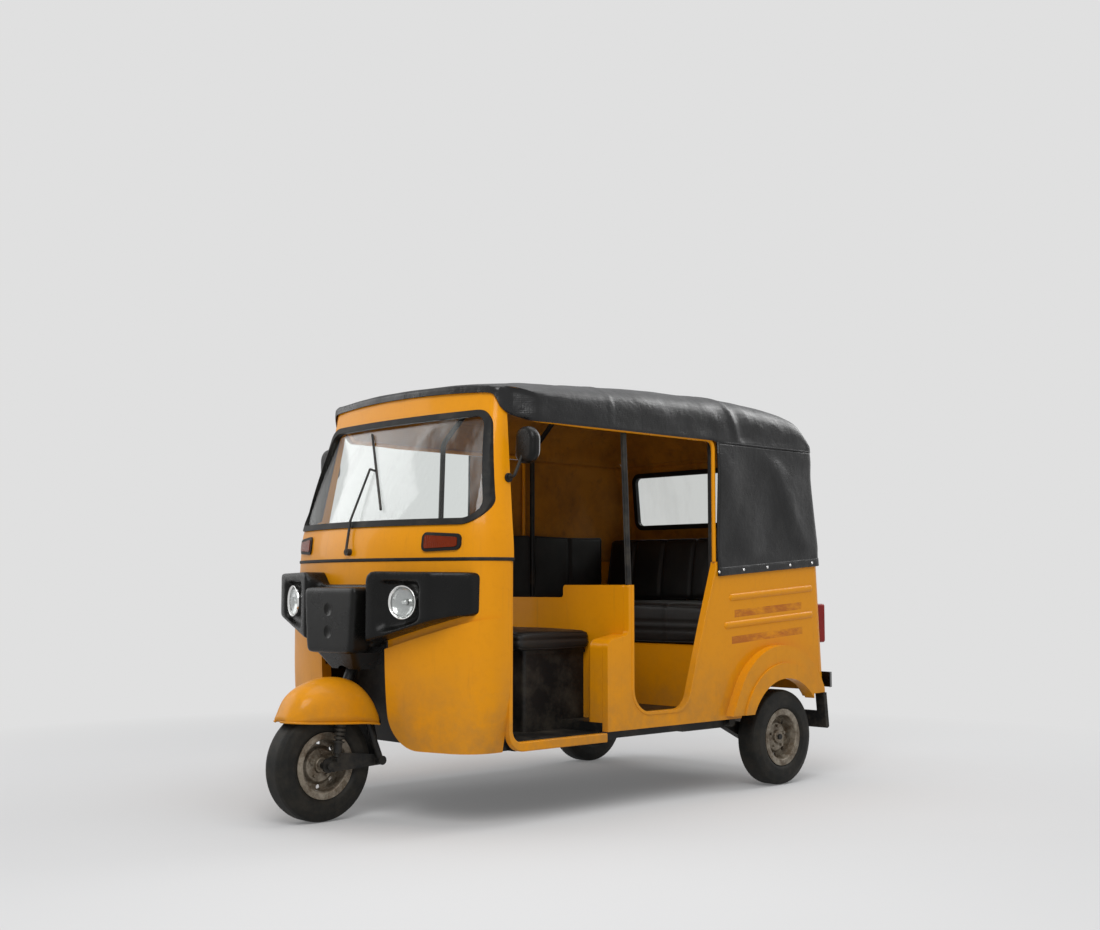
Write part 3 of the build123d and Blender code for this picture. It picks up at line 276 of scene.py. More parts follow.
def paint_yellow(name="yellow_paint", stripes=False):
    """Worn yellow paint: faint mottling, dust on the low parts, chips and light scratches."""
    s = Shade(name, YELLOW, 0.34, coat=0.16, coat_rough=0.07, specular=0.10)
    s.tint(s.ramp(s.noise(2.3, 4), 0.42, 0.72, 0, 0.35), (0.60, 0.215, 0.003))
    s.tint(s.ramp(s.noise(38, 5, 0.7), 0.50, 0.78, 0, 0.22), (0.50, 0.175, 0.005))
    low = s.ramp(s.axis("Z"), 0.62, 0.24)
    dust = s.math("MULTIPLY", low, s.ramp(s.noise(6, 6, 0.7), 0.36, 0.66))
    s.tint(s.math("MULTIPLY", dust, 0.6), (0.22, 0.135, 0.055))
    s.roughen(dust, 0.7)
    streak = s.math("MULTIPLY", s.ramp(s.noise(9, 5, 0.6, (5, 5, 0.4)), 0.60, 0.78), 0.25)
    s.tint(streak, (0.36, 0.14, 0.016))
    if stripes:
        add_stripes(s)
    chips = s.math("MULTIPLY", s.ramp(s.noise(85, 4, 0.75), 0.735, 0.76), s.ramp(s.noise(4, 2), 0.52, 0.62))
    s.tint(chips, (0.07, 0.05, 0.035))
    s.roughen(s.ramp(s.noise(14, 4), 0.45, 0.75, 0, 0.5), 0.46)
    s.bump(s.noise(240, 2), 0.00006)
    s.bump(s.noise(7, 2), 0.0012)
    return s.done()


# Faded stripes on the rear quarters: y from and to, z at both ends, height
STRIPES = [(0.600, 1.085, 0.744, 0.774, 0.034), (0.580, 1.090, 0.632, 0.664, 0.034)]


def add_stripes(s):
    """Faded reddish stripes along the rear quarter, worn through in patches."""
    y, z = s.axis("Y"), s.axis("Z")
    worn = s.ramp(s.noise(16, 6, 0.75, (1, 0.35, 1)), 0.36, 0.56)
    for y0, y1, z0, z1, tall in STRIPES:
        slope = (z1 - z0) / (y1 - y0)
        line = s.math("MULTIPLY_ADD", y, -slope, slope * y0 - z0, clamp=False)
        gap = s.math("ABSOLUTE", s.math("ADD", z, line, clamp=False), clamp=False)
        band = s.ramp(gap, tall / 2, tall / 2 - 0.002)
        ends = s.math("MULTIPLY", s.ramp(y, y0, y0 + 0.004), s.ramp(y, y1, y1 - 0.01))
        mask = s.math("MULTIPLY", s.math("MULTIPLY", band, ends), worn)
        s.tint(s.math("MULTIPLY", mask, 0.72), (0.34, 0.075, 0.012))


def paint_black():
    """Black chassis paint with road dust."""
    s = Shade("black_paint", (0.009, 0.009, 0.009), 0.42, specular=0.22)
    dust = s.ramp(s.noise(9, 6, 0.7), 0.45, 0.75, 0, 0.5)
    s.tint(dust, (0.10, 0.085, 0.062))
    s.roughen(dust, 0.8)
    s.bump(s.noise(120, 3), 0.0002)
    return s.done()


def moulding():
    """Black moulded plastic with fine leather-like grain and pale scuffs."""
    s = Shade("black_plastic", (0.003, 0.003, 0.0028), 0.25, specular=0.20)
    s.tint(s.ramp(s.noise(5, 5, 0.65), 0.45, 0.8, 0, 0.3), (0.020, 0.018, 0.015))
    s.roughen(s.ramp(s.noise(11, 4), 0.4, 0.7, 0, 0.7), 0.40)
    s.bump(s.cells(620), 0.00025)
    s.bump(s.noise(30, 4), 0.0003)
    return s.done()


def rubber(name="rubber_trim", dust=0.25):
    """Aged rubber."""
    s = Shade(name, (0.007, 0.007, 0.007), 0.6, specular=0.2)
    s.tint(s.ramp(s.noise(12, 6, 0.7), 0.48, 0.78, 0, dust), (0.12, 0.10, 0.075))
    s.bump(s.noise(170, 3), 0.0002)
    return s.done()


def tyre_rubber():
    """Tyre rubber, dusty on the tread and lower wall."""
    s = Shade("tyre_rubber", (0.009, 0.009, 0.008), 0.62, specular=0.2)
    s.tint(s.ramp(s.noise(10, 7, 0.75), 0.42, 0.75, 0, 0.42), (0.060, 0.050, 0.036))
    s.bump(s.noise(150, 4), 0.0004)
    return s.done()


def rim_silver():
    """Silver wheel paint under brown brake dust."""
    s = Shade("rim_silver", (0.30, 0.265, 0.21), 0.36, metal=0.5, coat=0.1)
    s.tint(s.ramp(s.noise(22, 6, 0.75), 0.36, 0.60, 0, 0.85), (0.070, 0.043, 0.020))
    s.roughen(s.ramp(s.noise(20, 4), 0.4, 0.7), 0.75)
    s.bump(s.noise(130, 3), 0.0003)
    return s.done()


def chrome(name="chrome", rough=0.10, bright=0.78):
    """Chrome with faint haze."""
    s = Shade(name, (bright, bright, bright * 0.985), rough, metal=1.0)
    s.roughen(s.ramp(s.noise(40, 4), 0.45, 0.75), 0.28)
    s.bump(s.noise(60, 2), 0.0001)
    return s.done()


def clear_pane(name, tint=(0.93, 0.95, 0.94), haze=0.06, marks=0.2):
    """Thin clear sheet: see-through with a sharp reflection and light smears."""
    s = Shade(name, tint, haze, specular=0.5)
    t, p = s.t, s.p
    out = next(n for n in t.nodes if n.type == "OUTPUT_MATERIAL")
    clear = t.nodes.new("ShaderNodeBsdfTransparent")
    clear.inputs[0].default_value = (*tint, 1)
    fresnel = t.nodes.new("ShaderNodeFresnel")
    side = s.ramp(s.node("ShaderNodeNewGeometry").outputs["Backfacing"], 0, 1, 1.38, 1 / 1.38)
    t.links.new(side, fresnel.inputs[0])
    smear = s.ramp(s.noise(3.2, 6, 0.6, (1.6, 1, 0.5)), 0.48, 0.80, 0.0, marks)
    gloss = t.nodes.new("ShaderNodeBsdfGlossy")
    gloss.inputs["Roughness"].default_value = haze
    film = t.nodes.new("ShaderNodeBsdfDiffuse")
    film.inputs[0].default_value = (0.62, 0.63, 0.62, 1)
    smeared = mixed(t, smear, clear, film).node
    t.links.new(mixed(t, fresnel.outputs[0], smeared, gloss), out.inputs[0])
    t.nodes.remove(p)
    return s.mat


def lens(name, color, rib=0.0):
    """Moulded lamp lens."""
    s = Shade(name, color, 0.16, coat=0.06, coat_rough=0.05, specular=0.12)
    s.tint(s.ramp(s.noise(25, 4), 0.45, 0.75, 0, 0.35), tuple(c * 0.5 for c in color))
    if rib:
        wave = s.node("ShaderNodeTexWave")
        wave.inputs["Scale"].default_value = rib
        wave.bands_direction = "X"
        s.link(s.coord, wave.inputs["Vector"])
        s.bump(wave.outputs["Fac"], 0.0008)
    return s.done()


def vinyl(name, color=(0.009, 0.009, 0.009), rough=0.36, dust=0.2):
    """Seat vinyl with pebbled grain."""
    s = Shade(name, color, rough, specular=0.28)
    s.tint(s.ramp(s.noise(7, 5, 0.65), 0.45, 0.8, 0, dust), (0.05, 0.046, 0.038))
    s.roughen(s.ramp(s.noise(9, 3), 0.4, 0.7, 0, 0.8), rough + 0.18)
    s.bump(s.cells(420), 0.0004)
    return s.done()


def canvas():
    """Black coated canvas of the hood: fine weave, a pale tint on top that is partly weathering and partly a
    painted highlight, creases.
    """
    s = Shade("hood_canvas", (0.006, 0.006, 0.0063), 0.25, specular=0.36)
    up = s.ramp(s.axis("Z", s.normal), 0.55, 0.98, 0, 1)
    # Paler on the upward faces: partly weathering, partly a painted highlight.
    pale = s.math("MULTIPLY", up, s.ramp(s.noise(5, 6, 0.65), 0.30, 0.72, 0.15, 0.75))
    s.tint(pale, (0.060, 0.061, 0.064))
    s.tint(s.ramp(s.noise(3.5, 6, 0.7, (1, 1, 0.45)), 0.52, 0.78, 0, 0.4), (0.040, 0.039, 0.037))
    s.roughen(s.ramp(s.noise(8, 5), 0.42, 0.7), 0.45)
    s.roughen(up, 0.62)
    weave(s, 900, 0.00012)
    s.bump(s.noise(13, 5, 0.6), 0.0045)
    s.bump(s.noise(4.5, 3, 0.5, (1, 0.55, 1.3)), 0.010)
    return s.done()


def weave(s, scale, depth):
    """Plain weave: two crossed sets of fine bands."""
    for way in ("X", "Y", "Z"):
        w = s.node("ShaderNodeTexWave")
        w.bands_direction = way
        w.inputs["Scale"].default_value = scale / 20
        s.link(s.coord, w.inputs["Vector"])
        s.bump(w.outputs["Fac"], depth)


def lining():
    """Orange-brown lining of the hood, stained and darker in patches."""
    s = Shade("hood_lining", (0.46, 0.185, 0.012), 0.75, sheen=0.1, specular=0.2)
    s.tint(s.ramp(s.noise(4, 6, 0.7), 0.42, 0.75, 0, 0.75), (0.16, 0.062, 0.010))
    s.tint(s.ramp(s.noise(21, 5, 0.7), 0.55, 0.8, 0, 0.5), (0.08, 0.035, 0.010))
    weave(s, 700, 0.0002)
    s.bump(s.noise(9, 4), 0.002)
    return s.done()


def alloy():
    """Oily cast engine housing."""
    s = Shade("engine_alloy", (0.14, 0.135, 0.125), 0.55, metal=0.6)
    s.tint(s.ramp(s.noise(12, 6, 0.7), 0.40, 0.66, 0, 0.85), (0.035, 0.028, 0.02))
    s.bump(s.noise(90, 4), 0.0008)
    return s.done()


MATS = {
    "yellow_paint": paint_yellow(),
    "yellow_striped": paint_yellow("yellow_striped", True),
    "black_paint": paint_black(),
    "black_plastic": moulding(),
    "rubber_trim": rubber(),
    "rubber_mat": rubber("rubber_mat", 0.45),
    "glass": clear_pane("glass", marks=0.34),
    "clear_window": clear_pane("clear_window", (0.9, 0.91, 0.9), 0.12, 0.10),
    "lens_clear": lens("lens_clear", (0.72, 0.72, 0.70), 60),
    "lens_amber": lens("lens_amber", (0.16, 0.017, 0.001), 40),
    "lens_red": lens("lens_red", (0.22, 0.006, 0.004), 40),
    "chrome": chrome(),
    "seat_vinyl": vinyl("seat_vinyl"),
    "trim_vinyl": vinyl("trim_vinyl", (0.010, 0.0095, 0.009), 0.5),
    "hood_canvas": canvas(),
    "hood_lining": lining(),
    "tyre_rubber": tyre_rubber(),
    "rim_silver": rim_silver(),
    "engine_alloy": alloy(),
    "lamp_glass": clear_pane("lamp_glass", (0.93, 0.94, 0.94), 0.05, 0.25),
    "reflector": chrome("reflector", 0.22, 0.55),
}
SLOTS = {m["slot"] for m in frame["record"]["materials"]}
STRIPED = ("side_panel_left", "side_panel_right")


def dress_nodes():
    """Gives each carried-over node its material."""
    slots = {p["node"]: p["material_slot"] for p in frame["record"]["subparts"]}
    for name, obj in nodes.items():
        material = MATS["yellow_striped" if name in STRIPED else slots[name]]
        for slot in obj.material_slots:
            slot.material = material


# Pieces: general helpers

# Points of a mesh that are this close are one, in metres
MERGE = 0.0001


def piece(name, verts, faces, body, material, replaces=()):
    """Smooth mesh object in the shared frame that rides on a body."""
    mesh = bpy.data.meshes.new(name)
    mesh.from_pydata([tuple(v) for v in verts], [], faces)
    mesh.update()
    obj = bpy.data.objects.new(name, mesh)
    bpy.context.collection.objects.link(obj)
    materials = material if isinstance(material, list) else [material]
    for m in materials:
        mesh.materials.append(MATS[m])
    mesh.shade_smooth()
    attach(obj, body)
    if replaces:
        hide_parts(*replaces)
    materials[0] in SLOTS
    return obj


def cleaned(mesh, merge, upward=False):
    """Merges a mesh's double points and turns its faces outwards, or a sheet's upwards."""
    made = bmesh.new()
    made.from_mesh(mesh)
    bmesh.ops.remove_doubles(made, verts=made.verts, dist=merge)
    bmesh.ops.recalc_face_normals(made, faces=made.faces)
    if upward and sum(f.normal.z * f.calc_area() for f in made.faces) < 0:
        bmesh.ops.reverse_faces(made, faces=made.faces)
    made.to_mesh(mesh)
    made.free()


def evaluated(obj):
    """Mesh of an object with its modifiers applied; the object goes."""
    graph = bpy.context.evaluated_depsgraph_get()
    mesh = bpy.data.meshes.new_from_object(obj.evaluated_get(graph))
    bpy.data.objects.remove(obj)
    return mesh


def add_part(verts, faces, rows, flip=False):
    """Adds a grid of points to lists of vertices and faces."""
    v, f = grid(rows)
    faces += [tuple(k + len(verts) for k in (q[::-1] if flip else q)) for q in f]
    verts += v


def grid(rows, closed=False):
    """Vertices and faces of a grid of points; closed joins each row's ends."""
    n = len(rows[0])
    verts = [p for row in rows for p in row]
    faces = []
    for i in range(len(rows) - 1):
        for j in range(n if closed else n - 1):
            k = (j + 1) % n
            faces.append((i * n + j, i * n + k, (i + 1) * n + k, (i + 1) * n + j))
    return verts, faces


def ring_at(centre, side, up, radius, sides):
    """Points of a circle round a centre, in the plane of two directions."""
    return [centre + side * radius * math.cos(t) + up * radius * math.sin(t)
            for t in (2 * math.pi * k / sides for k in range(sides))]


def rings_round(pts, radius, sides, closed=False):
    """Circles round the points of a line, turned with it without a twist."""
    rings, side = [], None
    last = len(pts) - 1
    for i, p in enumerate(pts):
        before = pts[i - 1] if i or closed else p
        after = pts[0 if i == last else i + 1] if i < last or closed else p
        way = (after - before).normalized()
        side = way.orthogonal().normalized() if side is None else side
        side = (side - way * side.dot(way)).normalized()
        rings.append(ring_at(p, side, way.cross(side), radius, sides))
    return rings


def pipe(name, points, radius, body, material, closed=False, sides=10, smooth_steps=3):
    """Round tube through points, as a mesh."""
    pts = [Vector(p) for p in points]
    for _ in range(smooth_steps):
        pts = smoother(pts, closed)
    rows = rings_round(pts, radius, sides, closed)
    if closed:
        rows.append(rows[0])
    verts, faces = grid(rows, closed=True)
    if not closed:
        faces.append(list(range(sides))[::-1])
        faces.append(list(range(len(verts) - sides, len(verts))))
    return piece(name, verts, faces, body, material)


def smoother(pts, closed):
    """One corner-cutting pass that keeps open ends."""
    out = []
    n = len(pts)
    pairs = [(pts[i], pts[(i + 1) % n]) for i in range(n if closed else n - 1)]
    if not closed:
        out.append(pts[0])
    for a, b in pairs:
        out += [a * 0.75 + b * 0.25, a * 0.25 + b * 0.75]
    if not closed:
        out.append(pts[-1])
    return out


def curve_at(table, key):
    """Catmull-Rom value of each column of a table at a key in its first column."""
    keys = [r[0] for r in table]
    if key <= keys[0]:
        return list(table[0][1:])
    if key >= keys[-1]:
        return list(table[-1][1:])
    i = max(k for k in range(len(keys) - 1) if keys[k] <= key)
    t = (key - keys[i]) / (keys[i + 1] - keys[i])
    a, b = table[i][1:], table[i + 1][1:]
    before, after = table[max(i - 1, 0)][1:], table[min(i + 2, len(table) - 1)][1:]
    k0, k3 = keys[max(i - 1, 0)], keys[min(i + 2, len(keys) - 1)]
    out = []
    for j in range(len(a)):
        h = keys[i + 1] - keys[i]
        m0 = (b[j] - before[j]) / (keys[i + 1] - k0) * h
        m1 = (after[j] - a[j]) / (k3 - keys[i]) * h
        out.append((2 * t ** 3 - 3 * t ** 2 + 1) * a[j] + (t ** 3 - 2 * t ** 2 + t) * m0
                   + (3 * t ** 2 - 2 * t ** 3) * b[j] + (t ** 3 - t ** 2) * m1)
    return out


def ease(low, high, v):
    """Smooth step from 0 at low to 1 at high."""
    t = min(1.0, max(0.0, (v - low) / (high - low)))
    return t * t * (3 - 2 * t)


def ridge_at(off, wide, high):
    """Height of a soft ridge at a distance off its line."""
    return high * math.exp(-(off / wide) ** 2)


def run_of(points):
    """Length of a line through points."""
    return sum((a - b).length for a, b in zip(points, points[1:]))


def ripple(p, scale, amount, seed=0.0):
    """Signed noise at a point."""
    return amount * noise.noise(Vector(p) * scale + Vector((seed, seed * 0.7, -seed)))


# The hood

# Hood by y: half width, z of the side edge, half width and z of the crown's end, z of the middle
HOOD_TABLE = [
    (-0.742, 0.538, 1.562, 0.440, 1.606, 1.622),
    (-0.560, 0.588, 1.552, 0.456, 1.630, 1.654),
    (-0.290, 0.599, 1.548, 0.458, 1.650, 1.680),
    (0.300, 0.602, 1.550, 0.458, 1.676, 1.700),
    (0.760, 0.604, 1.548, 0.458, 1.674, 1.700),
    (1.060, 0.604, 1.530, 0.452, 1.640, 1.664),
    (1.130, 0.602, 1.505, 0.444, 1.576, 1.598),
    (1.198, 0.596, 1.478, 0.430, 1.492, 1.500),
]
SEAM_Z, EDGE_Z = 1.470, 1.474
FRONT_Y, BACK_Y = -0.735, 1.199
BOWS = (-0.700, -0.150, 0.532, 1.060)
# Plan of the hood's front edge over the cab, from the middle to the corner: x, y
FRONT_EDGE = [(0.0, -0.735), (0.2, -0.7274), (0.3, -0.7178), (0.4, -0.7044), (0.4786, -0.692),
              (0.497, -0.6862), (0.5124, -0.6763), (0.5225, -0.6608), (0.526, -0.642)]
# Half width of the hood in plan behind that corner: y, x
SIDE_EDGE = [(-0.642, 0.526), (-0.620, 0.528), (-0.600, 0.542), (-0.580, 0.558), (-0.560, 0.5735),
             (-0.545, 0.583), (-0.530, 0.588), (-0.500, 0.591), (-0.450, 0.594), (-0.290, 0.599)]
# Lower edge of the hood in the side view: y, z
BROW = [(-0.703, 1.574), (-0.694, 1.5705), (-0.685, 1.562), (-0.672, 1.5333), (-0.662, 1.5185),
        (-0.644, 1.5065), (-0.5756, 1.480), (-0.560, 1.4755), (-0.543, 1.474), (0.470, 1.474),
        (0.486, 1.4665)]
# Rear corner in plan: x and y of its centre, radius
REAR_CORNER = (0.538, 1.133, 0.066)
FOLD_R = 0.014
CLOTH = 0.0024
CREASE_TOP = 1.69


def along(table, key):
    """Straight-line value of a table of pairs at a key."""
    if key <= table[0][0]:
        return table[0][1]
    for (a, u), (b, v) in zip(table, table[1:]):
        if key <= b:
            return u + (v - u) * (key - a) / (b - a)
    return table[-1][1]


def side_half(y):
    """Half width of the hood in plan at y, behind the front corner."""
    if y < -0.29:
        return along(SIDE_EDGE, y)
    x, y0, r = REAR_CORNER
    if y > y0:
        return x + math.sqrt(max(r * r - (y - y0) ** 2, 0))
    return curve_at(HOOD_TABLE, y)[0]


def roof_z(x, y):
    """Height of the hood's roof at a point of its plan."""
    half, side_z, crown_x, crown_z, top_z = curve_at(HOOD_TABLE, y)
    x = min(abs(x), half)
    if x <= crown_x:
        return top_z + (crown_z - top_z) * (x / crown_x) ** 2
    mid_x = crown_x + (half - crown_x) * 0.76
    mid_z = side_z + (crown_z - side_z) * 0.66
    bend_x, bend_z = 2 * mid_x - (half + crown_x) / 2, 2 * mid_z - (side_z + crown_z) / 2
    low, high = 0.0, 1.0
    for _ in range(24):
        t = (low + high) / 2
        if (1 - t) ** 2 * half + 2 * t * (1 - t) * bend_x + t * t * crown_x > x:
            low = t
        else:
            high = t
    return (1 - t) ** 2 * side_z + 2 * t * (1 - t) * bend_z + t * t * crown_z


def fold_drop(distance):
    """How far a folded edge drops at a distance from its outer face."""
    d = max(0.0, FOLD_R - distance)
    return FOLD_R - math.sqrt(FOLD_R ** 2 - d * d)


def hood_stations():
    """Distances behind the front edge of the hood's rows, closer together at both ends."""
    length = BACK_Y - FRONT_Y
    near = [0.0, 0.0015, 0.004, 0.008, 0.014, 0.022, 0.034]
    middle = [0.048 + (length - 0.130) * k / 128 for k in range(129)]
    return near + middle + [length - d for d in [0.070, 0.058, 0.046] + near[::-1]]


def hood_rows():
    """Points of the hood's top: its roof, the walls at its sides and those at its front and rear."""
    count = 27
    across = [1 - (k / 10) ** 1.7 * 0.24 for k in range(11)]
    across += [0.76 * (1 - k / (count - 11)) for k in range(1, count - 10)]
    across = across + [-u for u in across[-2::-1]]
    x_r, y_r, r = REAR_CORNER
    turn = r * math.sqrt(0.5)
    roof, left, right = [], [], []
    for d in hood_stations():
        y_mid = FRONT_Y + d
        front, rear = 1 - ease(0, 0.40, d), ease(BACK_Y - 0.16, BACK_Y, y_mid)
        row = []
        for u in across:
            back_x = abs(u) * (x_r + turn)
            back = y_r + math.sqrt(max(r * r - (back_x - x_r) ** 2, 0)) if back_x > x_r else BACK_Y
            y = y_mid + (along(FRONT_EDGE, abs(u) * 0.526) - FRONT_Y) * front + (back - BACK_Y) * rear
            row.append((u, y))
        x_max = side_half(row[0][1])
        cut = 1 - ease(-0.57, -0.49, row[0][1]) + ease(1.13, 1.16, row[0][1])
        points = []
        for u, y in row:
            x = u * x_max
            z = roof_z(x, y) - fold_drop(min(d, BACK_Y - FRONT_Y - d))
            z -= fold_drop(x_max - abs(x)) * cut
            points.append(Vector((x, y, z)))
        roof.append(points)
        for wall, top in ((left, points[0]), (right, points[-1])):
            wall.append(drop_wall(top))
    front = [drop_wall(p) for p in roof[0]]
    rear = [drop_wall(p) for p in roof[-1]]
    return roof, left, right, front, rear


def drop_wall(top):
    """Points from the roof's edge down to the hood's lower edge."""
    band, brow = top.z - 0.016, along(BROW, top.y)
    low = min(band + (brow - band) * ease(-0.692, -0.672, top.y), top.z - 0.002)
    out = Vector((top.x, max(0.0, top.y - 1.0), 0)).normalized()
    line = []
    for k in range(8):
        z = top.z + (low - top.z) * k / 7
        push = out * 0.0022 * ease(0.42, 0.50, top.y) * ease(1.50, 1.47, z)
        line.append(Vector((top.x, top.y, z)) + push)
    return line


def roof_push(p, n):
    """How far the roof's cloth stands out at a point."""
    gap = min(abs(p.y - b) for b in BOWS)
    flat = max(0.0, n.z)
    edge = min(ease(0.0, 0.03, p.z - along(BROW, p.y)), ease(0.0, 0.05, p.y - FRONT_Y))
    slack = -0.009 * ease(0.0, 0.20, gap) * flat * max(0.0, 1 - (p.x / 0.60) ** 2)
    ridge = ridge_at(p.y - BOWS[2], 0.006, 0.0030) + ridge_at(p.y - BOWS[1], 0.006, 0.0026)
    seam = ridge_at(abs(p.x) - 0.470, 0.0055, 0.0022) * ease(0.3, 0.6, n.z) * ease(1.10, 1.00, p.y)
    wave = ripple((p.x * 2.2, p.y, p.z * 2.6), 3.0, 0.0052, 3)
    wave += ripple((p.x, p.y * 1.5, p.z * 2), 7.0, 0.0018, 9)
    band = (1 - flat) * ripple((0, p.y * 1.2, p.z * 2.4), 5.5, 0.0050, 17 if p.x > 0 else 23)
    crease = 0.0
    if abs(p.x) > 0.40 and p.y > 0.45:
        run = (p.y - 0.545) - 0.42 * (CREASE_TOP - p.z)
        crease = ridge_at(run, 0.020, 0.0075) * ease(CREASE_TOP, 1.63, p.z)
        crease -= ridge_at(run - 0.055, 0.045, 0.0050) * ease(CREASE_TOP, 1.62, p.z)
    return slack + (ridge + seam + wave + band + crease) * edge


def hood_top():
    """Top of the hood: one sheet pulled over its bows, slack between them."""
    roof, left, right, front, rear = hood_rows()
    verts, faces = [], []
    for rows, flip in ((roof, False), (left, True), (right, False), (front, True), (rear, False)):
        add_part(verts, faces, rows, flip)
    sheet = bpy.data.meshes.new("sheet")
    sheet.from_pydata(verts, [], faces)
    cleaned(sheet, 0.00015, upward=True)
    moved = [v.co + v.normal * roof_push(v.co, v.normal) for v in sheet.vertices]
    shape = [tuple(f.vertices) for f in sheet.polygons]
    bpy.data.meshes.remove(sheet)
    obj = piece("hood_top_cover", moved, shape, "body", ["hood_canvas", "hood_lining"], ("hood_top",))
    thicken(obj, CLOTH)
    middle = roof[len(roof) // 2]
    wide = run_of(middle) + 2 * (middle[0].z - EDGE_Z)
    long = run_of([row[len(row) // 2] for row in roof]) + 0.08


# Skirt of the hood at two heights: half width and y of its rear
HEM_LEVEL = 0.905
SKIRT = {HEM_LEVEL: (0.607, 1.256), SEAM_Z: (0.604, 1.199)}
CORNER = 0.064
HEM_LINE = [(0.492, 0.903), (1.256, 0.956)]
LEFT_Y, RIGHT_Y = 0.492, 0.150
# The rear curtain's faces lie behind this y
CURTAIN_Y = 1.15
# Opening of the rear window: half width, lower and upper edge, corner radius
WINDOW = (0.520, 1.155, 1.425, 0.040)


def hem_z(y):
    """Height of the hood's lower edge at y."""
    (y0, z0), (y1, z1) = HEM_LINE
    return z0 + (z1 - z0) * (y - y0) / (y1 - y0)


def skirt_path(z, grow=0.0):
    """Plan line of the hood's skirt at a height: left front, round the rear, to the right front."""
    x, y, r = [v + grow for v in SKIRT[z] + (CORNER,)]
    left = [(x, LEFT_Y + (y - r - LEFT_Y) * k / 38) for k in range(38)]
    turn = [(x - r + r * math.cos(a), y - r + r * math.sin(a))
            for a in (math.pi / 2 * k / 10 for k in range(11))]
    span = x - r
    back = [(span * (1 - 2 * k / 132), y) for k in range(1, 132)]
    right = [(-px, py) for px, py in turn[::-1]]
    front = [(-x, (y - r) - (y - r - RIGHT_Y) * k / 50) for k in range(1, 51)]
    return left + turn + back + right + front


def skirt_point(path, j, z):
    """Plan place of a column of the skirt at a height."""
    t = (z - HEM_LEVEL) / (SEAM_Z - HEM_LEVEL)
    return [a + (b - a) * t for a, b in zip(path[0][j], path[1][j])]


def in_window(x, z, inset):
    """Whether a point of the rear curtain lies in the window's opening."""
    half, low, high, r = WINDOW
    half, low, high = half - inset, low + inset, high - inset
    dx, dz = abs(x) - (half - r), abs(z - (low + high) / 2) - ((high - low) / 2 - r)
    return (max(dx, 0) ** 2 + max(dz, 0) ** 2) ** 0.5 < r if dx > 0 and dz > 0 else dx < r and dz < r


def skirt_push(x, y, z, bottom):
    """How far the skirt's cloth stands out at a point: folds that hang from the seam's corners."""
    down = (SEAM_Z - z) / (SEAM_Z - bottom)
    amount = 0.0
    if abs(x) > 0.55:
        run = (y - 0.80) / 0.46
        fold = math.sin((run - 0.55 * down) * 7.0 + (0 if x > 0 else 1.3)) * 0.0062
        fold += math.sin((run + 0.35 * down) * 12.0 + 0.8) * 0.0020
        amount += fold * ease(0.0, 0.25, down) * (1 - ease(0.82, 0.93, down))
        pull = ridge_at(run - 0.10 - 0.62 * down, 0.13, 0.0105)
        amount += pull * ease(0.02, 0.2, down) * (1 - ease(0.75, 0.95, down))
    amount += ripple((x, y, z * 0.6), 5.0, 0.0045, 4) * (1 - ease(0.82, 0.93, down)) * ease(0, 0.1, down)
    return amount


def hood_skirt():
    """Sides and rear of the hood below the seam: one sheet with the window cut out."""
    levels = 46
    path = [skirt_path(HEM_LEVEL), skirt_path(SEAM_Z)]
    count = len(path[0])
    rows = []
    for i in range(levels):
        row = []
        for j in range(count):
            bottom = hem_z(path[0][j][1])
            z = bottom + (SEAM_Z - 0.0005 - bottom) * i / (levels - 1)
            x, y = skirt_point(path, j, z)
            ax, ay = path[0][max(j - 1, 0)]
            bx, by = path[0][min(j + 1, count - 1)]
            out = Vector((by - ay, ax - bx, 0)).normalized()
            calm = 0.25 if abs(x) < 0.545 and y > CURTAIN_Y else 1.0
            row.append(Vector((x, y, z)) + out * (skirt_push(x, y, z, bottom) * calm))
        rows.append(row)
    verts, faces = grid(rows)
    keep = []
    for f in faces:
        c = sum((verts[k] for k in f), Vector()) / 4
        if not (c.y > CURTAIN_Y and in_window(c.x, c.z, 0.008)):
            keep.append(f)
    obj = piece("hood_skirt_cover", verts, keep, "body", ["hood_canvas", "hood_lining"],
                ("hood_left", "hood_right", "hood_rear"))
    thicken(obj, CLOTH)
    round(run_of(rows[0]), 3)
    hem_and_seams(rows)


def hem_and_seams(rows):
    """Doubled hem with its snaps, the seam's welt and the binding of the front edges."""
    count = len(rows[0])
    proud = 0.0022
    path = [skirt_path(HEM_LEVEL, proud), skirt_path(SEAM_Z, proud)]
    strip = []
    for lift, inset in ((0, 0.0018), (0.002, 0.0), (0.034, 0.0), (0.036, 0.0018)):
        line = []
        for j in range(count):
            z = hem_z(path[0][j][1]) - 0.0008 + lift
            p = Vector((*skirt_point(path, j, z), z))
            n = Vector((p.x if abs(p.x) > 0.5 else 0, p.y - 1.0 if p.y > CURTAIN_Y else 0, 0))
            line.append(p - n.normalized() * inset)
        strip.append(line)
    verts, faces = grid(strip)
    thicken(piece("hood_hem", verts, faces, "body", "hood_canvas"), 0.0012)
    top = [Vector((x, y, SEAM_Z + 0.002)) for x, y in skirt_path(SEAM_Z, 0.0015)]
    pipe("hood_seam_welt", top[::3] + [top[-1]], 0.0018, "body", "hood_canvas", sides=6, smooth_steps=0)
    snaps(path[0])
    for name, j in (("left", 0), ("right", count - 1)):
        edge = [rows[i][j] for i in range(0, len(rows), 5)] + [rows[-1][j]]
        pipe("hood_binding_" + name, edge, 0.0045, "body", "hood_canvas", sides=8, smooth_steps=0)


